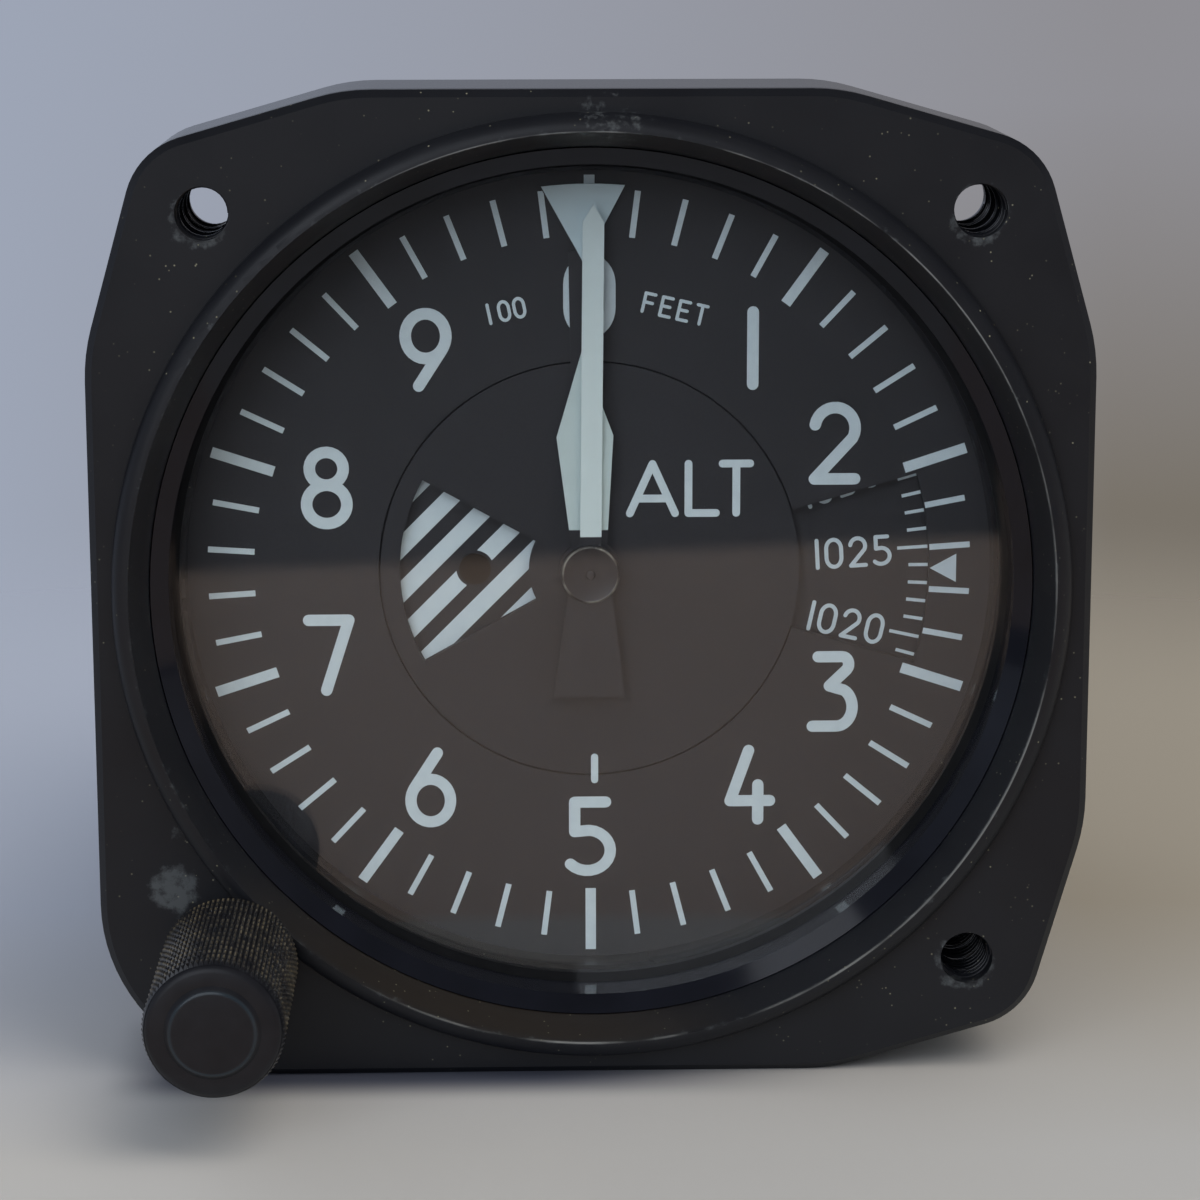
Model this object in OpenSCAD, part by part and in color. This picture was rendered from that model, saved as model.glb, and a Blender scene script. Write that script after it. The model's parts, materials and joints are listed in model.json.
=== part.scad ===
// Three-pointer aircraft altimeter with a barometric setting knob.
// Everything is drawn in the dial's own frame (x right, y up, z towards the viewer)
// and then turned so that the dial faces -Y with +Z up.
// Depths are measured backwards from the front face of the mounting flange.

/* [Front housing] */
// Width of the square flange across its flats
flange_w = 82.5; // [81:0.5:86]
// Length of each straight side between the slanted corners
flange_flat = 40; // [34:1:44]
// Radius of the rounded corners about the mounting holes
corner_r = 6.3; // [5.6:0.1:7]
// Radius of the bend between each straight side and its slanted end
bend_r = 16; // [12:1:20]
// Radius of the rounded corner that carries the knob
knob_corner_r = 15; // [13:0.5:17]
// Spacing of the mounting holes, both ways
hole_pitch = 62.865; // [61.865:0.5:63.865]
// Diameter of the mounting holes
hole_d = 4.4; // [3.6:0.1:5]
// Chamfer round the front edge of the flange
edge_chamfer = 0.6; // [0.3:0.1:1]
// Height of the raised bezel ring over the flange face
ring_h = 2; // [1.6:0.1:3]
// Rounding of the bezel ring's outer edge
ring_round = 1.5; // [1:0.1:1.6]
// How far the bezel's mouth flares outwards
mouth_flare = 1.4; // [1:0.1:1.6]
// Depth at which the flared mouth meets the lens bore
mouth_depth = 1.5; // [1:0.1:2.5]
// Length of the spigot that enters the case
spigot_l = 4.5; // [3.5:0.5:6]
// Wall of the spigot
spigot_t = 1.2; // [1:0.1:1.5]

/* [Lens] */
// Diameter of the glass
lens_d = 72.8; // [72.4:0.2:73.6]
// Thickness of the glass
lens_t = 1.7; // [1.2:0.1:2.2]
// Radial width of the ring that holds the glass
lens_ring_w = 1.4; // [1:0.1:1.8]
// Thickness of that ring
lens_ring_t = 4.4; // [3.5:0.1:5]
// Drop of the ring's slanted front face
lens_ring_slant = 1; // [0.5:0.1:1.4]
// Thickness of the seal behind the glass
seal_t = 0.8; // [0.5:0.1:1.2]

/* [Dial] */
// Visible diameter of the dial
dial_d = 68.4; // [67.6:0.2:69]
// Width of dial hidden behind the housing's lip
dial_lap = 1.8; // [1.2:0.1:2]
// Thickness of the housing's lip in front of the dial
lip_t = 2.8; // [2.4:0.1:3.6]
// Thickness of the dial plate
dial_t = 0.8; // [0.5:0.1:1]
// Diameter of the fixed centre plate
centre_d = 35.7; // [35.3:0.1:36]
// Thickness of printed marks
print_t = 0.05; // [0.03:0.01:0.08]
// Inner radius of the short ticks
minor_in_r = 28.55; // [28:0.05:29]
// Outer radius of the short ticks
minor_out_r = 32.5; // [31.5:0.1:33]
// Width of the short ticks
minor_w = 0.5; // [0.3:0.05:0.7]
// Inner radius of the long ticks
major_in_r = 28.1; // [27.5:0.05:28.5]
// Outer radius of the long ticks
major_out_r = 33.6; // [33:0.1:33.9]
// Width of the long ticks
major_w = 0.9; // [0.6:0.05:1.2]
// Outer radius of the pressure window
window_out_r = 29; // [28.6:0.05:29]
// Upper edge of the pressure window, degrees above three o'clock
window_up = 16.5; // [14:0.5:16.5]
// Lower edge of the pressure window, degrees below three o'clock
window_down = 16.5; // [14:0.5:16.5]
// Radius of the setting index's tip
index_r = 29.05; // [28.6:0.05:29.5]
// Length of the setting index
index_l = 2.25; // [1.5:0.05:3]
// Width of the setting index
index_w = 2.45; // [1.5:0.05:3]

/* [Pointers] */
// Length of the 100 ft pointer from the axis
long_l = 31.3; // [29:0.1:32.5]
// Width of the 100 ft pointer
long_w = 1.8; // [1.4:0.1:2.4]
// Length of its counterweight tail
tail_l = 10.7; // [8:0.1:12]
// Width of the tail's end
tail_w = 6.1; // [4:0.1:7]
// Length of the 1000 ft pointer
short_l = 18.9; // [17:0.1:20]
// Greatest width of the 1000 ft pointer
short_w = 4.8; // [3.5:0.1:6]
// Radius of that greatest width
short_wide_r = 11.7; // [9:0.1:13]
// Outer radius of the 10,000 ft pointer
marker_r = 32.9; // [31.5:0.1:33.4]
// Width of its triangular end
marker_w = 7.1; // [5:0.1:8]
// Length of its triangular end
marker_l = 6.6; // [5:0.1:8]
// Width of its thin arm
marker_arm_w = 2.6; // [1.8:0.1:3]
// Thickness of each pointer
pointer_t = 0.25; // [0.2:0.05:0.3]
// Free space behind each pointer
pointer_gap = 0.35; // [0.3:0.05:0.45]
// Radius of the pointers' hubs
hub_r = 2.5; // [2.2:0.1:2.7]

/* [Warning flag] */
// Inner radius of the flag window
flag_in_r = 5.2; // [4.5:0.1:6]
// Outer radius of the flag window
flag_out_r = 16.2; // [15:0.1:16.3]
// Half angle of the flag window
flag_half = 29; // [24:1:34]
// Width of one white stripe
stripe_w = 1.5; // [1:0.05:2]
// Spacing of the white stripes
stripe_pitch = 2.78; // [2.4:0.01:3.2]
// Radius of the rivet on the flag disc
rivet_r = 1.35; // [1:0.05:1.6]
// Distance of the rivet from the axis
rivet_at = 9.8; // [9:0.1:10.5]

/* [Barometric setting] */
// Gear module of the setting train
baro_m = 0.4; // [0.39:0.005:0.405]
// Teeth on the pressure scale
baro_teeth = 150; // [148:1:151]
// Teeth on the idler
idler_teeth = 24; // [22:1:25]
// Teeth on the knob's pinion
knob_teeth = 16; // [14:1:17]
// Face width of the setting gears
baro_t = 1; // [0.8:0.1:1.2]
// Clearance in front of and behind the setting gears
baro_gap = 0.3; // [0.2:0.05:0.5]
// Degrees of scale for one hectopascal
hpa_deg = 3.15; // [2.8:0.05:3.4]
// Knob diameter over the knurl
knob_d = 11.4; // [10:0.1:12.4]
// Knob length
knob_l = 19.5; // [14:0.5:22]
// Gap between the bezel ring and the knob
knob_gap = 0.5; // [0.3:0.1:1.5]
// Number of knurl ridges
knurl_n = 64; // [40:1:80]
// Depth of the knurl
knurl_h = 0.25; // [0.15:0.05:0.4]
// Radius of the raised centre on the knob's face
boss_r = 3.4; // [2.6:0.1:4.2]
// Diameter of the knob's shaft
shaft_d = 3; // [2.6:0.1:3.4]
// Wall of the shaft's bush
bush_t = 1.3; // [1:0.1:1.35]
// Thickness of the gear cover
cover_t = 1.2; // [1:0.1:1.6]

/* [Movement] */
// Thickness of the movement plates
plate_t = 1.2; // [1:0.1:1.6]
// Module of the pointer gears
hand_m = 0.3; // [0.28:0.01:0.31]
// Teeth on the small driving pinions
drive_teeth = 14; // [14:1:15]
// Teeth on the wheels they drive
driven_teeth = 56; // [54:1:57]
// Teeth on the reduction pinions
reduce_teeth = 20; // [19:1:20]
// Face width of the pointer gears
hand_gear_t = 0.6; // [0.5:0.05:0.7]
// Axial gap between gears
gear_gap = 0.6; // [0.5:0.05:0.8]
// Module of the sector train
sector_m = 0.25; // [0.24:0.005:0.255]
// Teeth on the sector train's pinions
staff_teeth = 12; // [12:1:13]
// Teeth on the intermediate wheel
intermediate_teeth = 120; // [116:1:122]
// Teeth of the full circle that the sector belongs to
sector_teeth = 240; // [236:2:242]
// Sideways place of the rocking shaft
rock_x = 15.2; // [14.8:0.1:15.6]
// Height of the rocking shaft
rock_y = -5; // [-5.5:0.1:-4.5]
// Turn of the rocking shaft over the full altitude range
rock_turn = 73.8; // [70:0.2:75]
// Turn of the rocking shaft from its middle position to sea level
rock_rest = 35.1; // [33:0.1:36]
// Length of the rocking arm
rock_arm = 5; // [4.6:0.1:5.4]
// Radius of the plate pillars' circle
pillar_at = 32.6; // [32:0.1:33]
// Radius of the pillars
pillar_r = 1.6; // [1.2:0.1:2]
// Radius of the pointer staff
staff_r = 0.6; // [0.5:0.02:0.64]
// Wall of each pointer sleeve
sleeve_t = 0.45; // [0.35:0.05:0.5]
// Radius of the arbor pivots
pivot_r = 0.5; // [0.4:0.05:0.6]

/* [Capsules] */
// Outer radius of the aneroid capsules
capsule_r = 19; // [16:0.5:19.5]
// Thickness of one capsule
capsule_t = 4; // [3:0.1:4.2]
// Spacing of the capsules
capsule_pitch = 5; // [4.5:0.1:5.2]
// Number of capsules
capsule_n = 3; // [2:1:3]
// Distance of the stack's fixed end from the dial axis
capsule_base = 28; // [27:0.5:29]
// Depth of the stack's axis
capsule_depth = 52; // [51:0.5:56]

/* [Case] */
// Wall of the case
case_wall = 1.2; // [1:0.1:1.6]
// Radial step from the case's collar down to its body
case_step = 1.6; // [1.2:0.1:1.6]
// Depth of the rear end of the case
case_end = 84; // [80:1:92]
// Thickness of the rear cover
rear_t = 3; // [2.5:0.1:4]
// Radius of the static port's thread bore
port_r = 4.2; // [3.8:0.1:4.6]
// Length of the static port's thread bore
port_l = 10; // [8:0.5:12]
// Distance of the static port below the axis
port_drop = 14; // [10:0.5:18]
// Radius of the circle of rear screws
rear_screw_at = 33.4; // [33:0.1:33.5]
// Shank radius of the case screws
screw_r = 1.2; // [1:0.05:1.4]

/* [Clearances] */
// Radial clearance of a running fit
run = 0.05; // [0.03:0.01:0.08]
// Radial clearance of a fixed fit
fix = 0.03; // [0.02:0.01:0.06]
// Radial clearance of large seated rings
seat = 0.1; // [0.06:0.02:0.2]
// Thinning of each gear tooth
backlash = 0.04; // [0.03:0.005:0.06]

/* [Hidden] */
$fn = 96;
small_fn = 32;
pressure_angle = 20;
eps = 0.01;

// Radii of the front stack
lens_r = lens_d / 2;
front_bore_r = lens_r + 2 * seat;
ring_top_r = front_bore_r + mouth_flare;
ring_base_r = ring_top_r + ring_round;
lip_r = dial_d / 2;
dial_r = lip_r + dial_lap;
rear_bore_r = dial_r + 2 * seat;
spigot_r = rear_bore_r + spigot_t;
lens_ring_in_r = front_bore_r - seat - lens_ring_w;
centre_r = centre_d / 2;
dial_hole_r = centre_r + 1.5 * seat;
hole_at = hole_pitch / 2;

// Depths of the front stack
lens_front = mouth_depth + lens_ring_t;
lens_back = lens_front + lens_t;
lip_front = lens_back + seal_t;
dial_front = lip_front + lip_t;
dial_back = dial_front + dial_t;
scale_front = dial_back + baro_gap;
scale_back = scale_front + baro_t;
cover_front = scale_back + baro_gap + 0.2;
housing_back = cover_front + cover_t;
plate_front = housing_back + 0.2;
plate_back = plate_front + plate_t;
spigot_back = housing_back + spigot_l;

// Setting train along the lower left diagonal
knob_angle = 225;
scale_pitch_r = baro_m * baro_teeth / 2;
idler_pitch_r = baro_m * idler_teeth / 2;
knob_pitch_r = baro_m * knob_teeth / 2;
idler_at = scale_pitch_r + idler_pitch_r;
knob_at = idler_at + idler_pitch_r + knob_pitch_r;
pocket_r = idler_pitch_r + 2 * baro_m;
ledge_w = 0.7;
ear_at = [knob_at - 2.3, pocket_r + 2];
ear_r = 2.8;
cover_screw_r = 0.95;
cover_screw_l = 4;
cover_head_r = 1.7;
cover_head_t = 0.6;
knob_r = knob_d / 2;
shaft_r = shaft_d / 2;
bush_r = shaft_r + run + bush_t;
bush_front = 0.2;
bush_lip = 0.2;
ring_sec = (bush_t - bush_lip) / 2 - 0.03;
knob_back = -(ring_h + knob_gap);
knob_front = knob_back - knob_l;
knob_screw_at = knob_back - 3;
knob_screw_r = 0.8;
stud_r = 0.8;
baro_shift = 0.2;
baro_tick_w = 0.28;
baro_long_l = 2.6;
baro_short_l = 1.65;
rest_hpa = 1024;
low_hpa = 950;
high_hpa = 1050;

// Bearing tube that carries the centre plate and the pressure scale
tube_in_r = flag_out_r + 0.5;
tube_r = centre_r - 0.15;
scale_in_r = tube_r + run;
scale_web_t = 0.6;
tube_step = 1.1;

// Pointer levels, front to back
marker_back = dial_front - pointer_gap;
marker_front = marker_back - pointer_t;
short_back = marker_front - pointer_gap;
short_front = short_back - pointer_t;
long_back = short_front - pointer_gap;
long_front = long_back - pointer_t;
cap_t = 0.4;
sleeve_proud = 0.1;
short_root_w = 2.6;
// Small set of each pointer on its staff, clockwise
long_set = 0.6;
short_set = -2.1;
marker_set = -1;

// Concentric staff and sleeves
sleeve1_in = staff_r + run;
sleeve1_r = sleeve1_in + sleeve_t;
sleeve2_in = sleeve1_r + run;
sleeve2_r = sleeve2_in + sleeve_t;
flag_r = flag_out_r + 0.2;
flag_t = 0.4;
// The middle stripe passes under the rivet, a little above its centre
stripe_at = rivet_at * sin(45) - stripe_w / 2 + 0.24;
rivet_stem_r = 0.6;

// Pointer reduction gears
hand_centre = hand_m * (drive_teeth + driven_teeth) / 2;
sleeve_teeth = drive_teeth + driven_teeth - reduce_teeth;
arbor1_angle = 60;
arbor2_angle = 240;
arbor_r = 0.8;
drive_shift = 0.3;
level1 = plate_back + gear_gap;
level2 = level1 + hand_gear_t + gear_gap;
level3 = level2 + hand_gear_t + gear_gap;
level4 = level3 + hand_gear_t + gear_gap;
middle_front = level4 + hand_gear_t + 1;
middle_back = middle_front + plate_t;
plate_r = dial_r - 0.5;

// Sector train behind the middle plate
staff_pinion_front = middle_back + gear_gap;
staff_pinion_t = 1;
staff_back = staff_pinion_front + staff_pinion_t + 0.2;
wheel_t = 0.6;
wheel_front = staff_pinion_front + 0.2;
inter_pinion_front = staff_back + 0.8;
inter_pinion_t = 2;
sector_front = inter_pinion_front + 0.6;
sector_t = 0.8;
bridge_front = inter_pinion_front + inter_pinion_t + 0.8;
bridge_back = bridge_front + plate_t;
staff_shift = 0.4;
inter_at = sector_m * (staff_teeth + intermediate_teeth) / 2;
sector_at = sector_m * (staff_teeth + sector_teeth) / 2;
sector_r = sector_m * sector_teeth / 2;
// The intermediate arbor lies where the two centre distances meet
rock_dist = norm([rock_x, rock_y]);
rock_dir = atan2(rock_y, rock_x);
inter_dir = rock_dir - acos((inter_at ^ 2 + rock_dist ^ 2 - sector_at ^ 2) / (2 * inter_at * rock_dist));
inter_pos = [inter_at * cos(inter_dir), inter_at * sin(inter_dir)];
mesh_dir = atan2(inter_pos.y - rock_y, inter_pos.x - rock_x);
sector_pitch = 360 / sector_teeth;
// At rest a whole number of teeth has run past the mesh, so that a tooth lies on it
rest_dir = mesh_dir + round(rock_rest / sector_pitch) * sector_pitch;
sector_rim = 3;
sector_half = rock_turn / 2 + 5;
rock_r = 1.3;
pillar_angles = [0, 135, 235];

// Link between the capsules and the rocking arm
pin_r = 0.6;
eye_r = 1.6;
rod_w = 1.6;
foot_w = 4;
foot_t = 1;
arm_dir = 90 + rock_rest;
link_pin = [rock_x, rock_y] + polar(rock_arm, arm_dir);
arm_t = 1.4;
link_t = 2;
link_front = capsule_depth - link_t / 2;
arm_front = link_front - 0.8 - arm_t;
pin_back = link_front + link_t + 0.6;
capsule_free = capsule_base - capsule_n * capsule_pitch;
link_root = -capsule_free;
capsule_rim = 0.4;
stem_l = 1.5;
stem_r = 1.2;
cock_front = pin_back + 2.4;
cock_t = 1.5;
cock_foot_r = 3.4;
cock_eye_r = 3;
cock_at = [[28, 8], [28, -14]];

// Case behind the housing
case_in_r = spigot_r + run;
case_r = case_in_r + case_wall;
collar_back = spigot_back + 0.5;
body_in_r = case_in_r - case_step;
body_r = body_in_r + case_wall;
case_screw_depth = housing_back + spigot_l / 2;
boss_l = 10;
case_boss_r = body_in_r + case_wall / 2 - rear_screw_at;
rear_screw_angles = [45, 135, 225, 315];
rear_lip = 2;
rear_head_r = 2.5;
rear_head_t = 1.6;
screw_slot_w = 0.7;
screw_slot_d = 0.7;
case_head_r = 2;
case_head_t = 0.6;
case_head_sink = 0.7;
port_shank_r = 7;
port_nut_r = 8.2;
port_nut_t = 2;
port_hex_r = 9;
port_hex_t = 4;
port_hole_r = 1.5;
seal_w = 0.9;

black = "#1b1c1f";
dial_black = "#222125";
mark_white = "#d5dde0";
glass_tint = "#cfe0e8";
brass = "#b5963f";
steel = "#9da2a6";
rubber = "#161616";
copper = "#b98a5a";

// Placing helpers
module faced() {
    rotate([90, 0, 0]) children();
}

module slab(front, back) {
    translate([0, 0, -back]) linear_extrude(height = back - front) children();
}

module disc(r, front, back, fn = $fn) {
    translate([0, 0, -back]) cylinder(r = r, h = back - front, $fn = fn);
}

module tube(r, in_r, front, back, fn = $fn) {
    difference() {
        disc(r, front, back, fn);
        disc(in_r, front - 1, back + 1, fn);
    }
}

module along(angle, dist) {
    rotate([0, 0, angle]) translate([dist, 0, 0]) children();
}

function polar(r, a) = [r * cos(a), r * sin(a)];

// Pie slice from angle a0 to a1, less than a half turn
module wedge(r, a0, a1) {
    far = r / cos((a1 - a0) / 2);
    polygon([[0, 0], polar(far, a0), polar(far, a1)]);
}

module stadium(r, x0, x1) {
    translate([x0, -r]) square([x1 - x0, 2 * r]);
    translate([x0, 0]) circle(r = r, $fn = small_fn);
    translate([x1, 0]) circle(r = r, $fn = small_fn);
}

// Involute gear outlines
function involute(a) = tan(a) - a * PI / 180;
function pitch_r(n, m) = n * m / 2;
function base_r(n, m) = pitch_r(n, m) * cos(pressure_angle);
function root_r(n, m, x) = pitch_r(n, m) - m * (1.25 - x);
function tip_r(n, m, x) = pitch_r(n, m) + m * (1 + x);
function half_tooth(r, n, m, x) =
    180 / PI * ((m * (PI / 2 + 2 * x * tan(pressure_angle)) - backlash) / (n * m)
        + involute(pressure_angle) - involute(acos(min(1, base_r(n, m) / r))));

function tooth(n, m, x, steps, at) =
    let (root = root_r(n, m, x), low = max(root, base_r(n, m)), tip = tip_r(n, m, x))
    let (rs = [for (k = [0:steps]) low + (tip - low) * k / steps])
    let (foot = half_tooth(low, n, m, x), undercut = root < low - eps)
    concat(
        undercut ? [polar(root, at - foot)] : [],
        [for (r = rs) polar(r, at - half_tooth(r, n, m, x))],
        [for (k = [steps:-1:0]) polar(rs[k], at + half_tooth(rs[k], n, m, x))],
        undercut ? [polar(root, at + foot)] : []
    );

module gear(n, m, x = 0, steps = 2, phase = 0) {
    polygon([for (i = [0:n - 1]) for (p = tooth(n, m, x, steps, phase + 360 * i / n)) p]);
}

// Flange outline: four flats, soft bends to slanted corners with arcs about the hole
// centres, and one fully rounded corner for the knob
flat_half = flange_flat / 2;
flange_half = flange_w / 2;
slant_from = [flat_half - hole_at, flange_half - hole_at];
slant_angle = atan2(slant_from.y, slant_from.x) - acos(corner_r / norm(slant_from));
knob_corner = 2;
bend_sweep = 90 - slant_angle;
bend_at = [flat_half - bend_r * tan(bend_sweep / 2), flange_half - bend_r];

function corner_at(q) = q == knob_corner ? flange_half - knob_corner_r : hole_at;
function corner_arc(q) = q == knob_corner ? knob_corner_r : corner_r;
function corner_end(q) = q == knob_corner ? 90 : slant_angle;
function tangent(q) = [corner_at(q), corner_at(q)] + polar(corner_arc(q), corner_end(q));
function corner_points(q) =
    let (t = tangent(q))
    q == knob_corner
        ? [[t.y, t.x], t]
        : let (high = bend_at + polar(bend_r, 90), low = bend_at + polar(bend_r, slant_angle))
            [[high.y, high.x], [low.y, low.x], [t.y, t.x], t, low, high];
function turned(p, a) = [p.x * cos(a) - p.y * sin(a), p.x * sin(a) + p.y * cos(a)];
function outline_corner(q) = [for (p = corner_points(q)) turned(p, 90 * q)];

module flange_outline() {
    polygon([for (q = [0:3]) for (p = outline_corner(q)) p]);
    for (q = [0:3])
        rotate(90 * q) {
            translate([corner_at(q), corner_at(q)]) circle(r = corner_arc(q));
            if (q != knob_corner)
                for (c = [bend_at, [bend_at.y, bend_at.x]])
                    translate(c) circle(r = bend_r);
        }
}

module flange_edges() {
    for (q = [0:3]) {
        points = outline_corner(q);
        edge_inset(points[len(points) - 1], outline_corner((q + 1) % 4)[0]);
        if (q != knob_corner) {
            edge_inset(points[1], points[2]);
            edge_inset(points[3], points[4]);
            rotate([0, 0, 90 * q]) {
                arc_inset([bend_at.y, bend_at.x], bend_r, 0, bend_sweep);
                arc_inset(bend_at, bend_r, slant_angle, bend_sweep);
            }
        }
        rotate([0, 0, 90 * q]) arc_inset(
            [corner_at(q), corner_at(q)],
            corner_arc(q),
            90 - corner_end(q),
            2 * corner_end(q) - 90
        );
    }
}

// Turned cut that takes the front edge off along an arc of the outline
module arc_inset(at, r, from, sweep) {
    translate([at.x, at.y, 0]) rotate([0, 0, from]) rotate_extrude(angle = sweep)
        polygon([[r - edge_chamfer, eps], [r + 1, eps], [r + 1, -edge_chamfer - 1]]);
}

// Long prism that takes the front edge off between two outline points
module edge_inset(a, b) {
    run_dir = atan2(b.y - a.y, b.x - a.x);
    translate([a.x, a.y, 0]) rotate([0, 0, run_dir]) translate([-flange_w / 2, 0, 0])
        rotate([90, 0, 90]) linear_extrude(height = 2 * flange_w)
            polygon([[edge_chamfer, eps], [-1, eps], [-1, -edge_chamfer - 1]]);
}

module front_housing() {
    color(black) faced() difference() {
        union() {
            difference() {
                slab(0, housing_back) flange_outline();
                flange_edges();
            }
            rotate_extrude() {
                translate([lip_r, -1]) square([ring_base_r - lip_r, 1 + ring_h - ring_round]);
                translate([lip_r, -1]) square([ring_top_r - lip_r, 1 + ring_h]);
                translate([ring_top_r, ring_h - ring_round]) circle(r = ring_round, $fn = small_fn);
            }
            disc(spigot_r, housing_back - 1, spigot_back);
        }
        rotate_extrude() polygon([
            [0, ring_h + 1],
            [ring_top_r + mouth_flare / (ring_h + mouth_depth), ring_h + 1],
            [front_bore_r, -mouth_depth],
            [front_bore_r, -lip_front],
            [lip_r, -lip_front],
            [lip_r, -dial_front],
            [rear_bore_r, -dial_front],
            [rear_bore_r, -spigot_back - 1],
            [0, -spigot_back - 1]
        ]);
        for (q = [0, 1, 3])
            along(90 * q + 45, hole_at * sqrt(2)) disc(hole_d / 2, -1, housing_back + 1);
        rotate([0, 0, knob_angle]) {
            slab(dial_back - 0.1, housing_back + eps) stadium(pocket_r, idler_at, knob_at);
            slab(cover_front, spigot_back + 1) cover_outline(seat);
            translate([knob_at, 0, 0]) disc(bush_r + fix, -1, dial_back, small_fn);
            at_ears() disc(cover_screw_r + fix, cover_front - cover_screw_l, housing_back, small_fn);
        }
        for (a = [0:90:270])
            rotate([0, 0, a]) case_screw_hole(fix);
    }
}

// Cover over the setting gears, with an ear for a screw on each side
module cover_outline(grow) {
    stadium(pocket_r + ledge_w + grow, idler_at, knob_at);
    for (s = [-1, 1])
        translate([ear_at.x, s * ear_at.y]) circle(r = ear_r + grow, $fn = small_fn);
}

module at_ears() {
    for (s = [-1, 1])
        translate([ear_at.x, s * ear_at.y, 0]) children();
}

// Radial hole for a case screw
module case_screw_hole(gap) {
    translate([rear_bore_r - 1, 0, -case_screw_depth]) rotate([0, 90, 0])
        cylinder(r = screw_r + gap, h = case_r, $fn = small_fn);
}

module lens_ring() {
    color(black) faced() rotate_extrude() polygon([
        [front_bore_r - seat, -mouth_depth],
        [lens_ring_in_r, -mouth_depth - lens_ring_slant],
        [lens_ring_in_r, -lens_front],
        [front_bore_r - seat, -lens_front]
    ]);
}

module lens_glass() {
    color(glass_tint, 0.35) faced() disc(lens_r, lens_front, lens_back);
}

module lens_seal() {
    color(rubber) faced() tube(lens_r, lip_r + 0.4, lens_back, lip_front);
}

module dial_plate() {
    color(dial_black) faced() slab(dial_front, dial_back) difference() {
        circle(r = dial_r);
        circle(r = dial_hole_r);
        pressure_window(0);
    }
}

module pressure_window(grow) {
    intersection() {
        circle(r = window_out_r + grow);
        wedge(window_out_r + 1, -window_down, window_up);
    }
}

module tick(in_r, out_r, w) {
    translate([in_r, -w / 2]) square([out_r - in_r, w]);
}

// Fifty ticks, those beside the pressure window cut short by it, and the setting index
module dial_marks() {
    tick_n = 50;
    color(mark_white) faced() slab(dial_front - print_t, dial_front) {
        difference() {
            for (k = [0:tick_n - 1])
                rotate(90 - 360 / tick_n * k)
                    if (k % 5 == 0)
                        tick(major_in_r, major_out_r, major_w);
                    else
                        tick(minor_in_r, minor_out_r, minor_w);
            pressure_window(print_t);
        }
        polygon([[index_r, 0], [index_r + index_l, -index_w / 2], [index_r + index_l, index_w / 2]]);
    }
}

module centre_plate() {
    color(dial_black) faced() slab(dial_front, dial_back) difference() {
        circle(r = centre_r);
        circle(r = sleeve2_r + 0.3);
        intersection() {
            difference() {
                circle(r = flag_out_r);
                circle(r = flag_in_r);
            }
            wedge(flag_out_r + 1, 180 - flag_half, 180 + flag_half);
        }
    }
}

// Split ring between the dial and the movement, open at the setting gears
module dial_spacer() {
    spread = asin((pocket_r + ledge_w + 4 * seat) / (dial_r - 1)) + 1;
    color(black) faced() slab(dial_back, plate_front) difference() {
        circle(r = dial_r);
        circle(r = dial_r - 1.2);
        wedge(dial_r + 5, knob_angle - spread, knob_angle + spread);
    }
}

module gear_cover() {
    color(black) faced() rotate([0, 0, knob_angle]) {
        difference() {
            slab(cover_front, housing_back) cover_outline(0);
            translate([knob_at, 0, 0]) disc(stud_r + run, cover_front - 1, housing_back + 1, small_fn);
            at_ears() {
                disc(cover_screw_r + fix, cover_front - 1, housing_back + 1, small_fn);
                disc(cover_head_r + fix, housing_back - cover_head_t, housing_back + 1, small_fn);
            }
        }
        translate([idler_at, 0, 0]) disc(stud_r, scale_front, cover_front, small_fn);
    }
}

module gear_cover_screws() {
    color(steel) faced() rotate([0, 0, knob_angle]) at_ears() {
        disc(cover_screw_r, cover_front - cover_screw_l + 0.2, housing_back - cover_head_t, small_fn);
        disc(cover_head_r, housing_back - cover_head_t, housing_back, small_fn);
    }
}

// Bush with a groove at its mouth for the seal ring
module knob_bush() {
    color(brass) faced() along(knob_angle, knob_at) difference() {
        tube(bush_r, shaft_r + run, bush_front, dial_back - 0.4, small_fn);
        disc(bush_r - bush_lip, bush_front - 1, bush_front + 2 * ring_sec + 0.1, small_fn);
    }
}

module knob_seal() {
    color(rubber) faced() along(knob_angle, knob_at) translate([0, 0, -bush_front - 0.1 - ring_sec])
        rotate_extrude($fn = small_fn)
            translate([shaft_r + run + ring_sec, 0]) circle(r = ring_sec, $fn = small_fn);
}

module knurled(r, h) {
    polygon([for (i = [0:2 * knurl_n - 1]) polar(r - (i % 2) * h, 180 * i / knurl_n)]);
}

module setting_knob() {
    front_edge = knob_front + 0.9;
    face_r = knob_r - knurl_h - 0.15;
    color(black) faced() along(knob_angle, knob_at) difference() {
        union() {
            slab(front_edge, knob_back) knurled(knob_r, knurl_h);
            translate([0, 0, -front_edge - eps]) cylinder(r1 = face_r, r2 = face_r - 0.5, h = 0.5);
            disc(boss_r, knob_front, front_edge);
        }
        difference() {
            disc(boss_r + 0.6, front_edge - 1, front_edge - 0.2);
            disc(boss_r, front_edge - 2, front_edge);
        }
        disc(shaft_r + fix, knob_front + 4, knob_back + 1, small_fn);
        translate([0, 0, -knob_screw_at]) rotate([0, 90, 0])
            cylinder(r = knob_screw_r + fix, h = knob_r + 1, $fn = small_fn);
    }
}

module knob_shaft() {
    color(steel) faced() along(knob_angle, knob_at) {
        disc(shaft_r, knob_front + 4.2, scale_front, small_fn);
        slab(scale_front, scale_back) gear(knob_teeth, baro_m, baro_shift, 4, 180);
        disc(stud_r, scale_back, housing_back, small_fn);
    }
}

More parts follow.
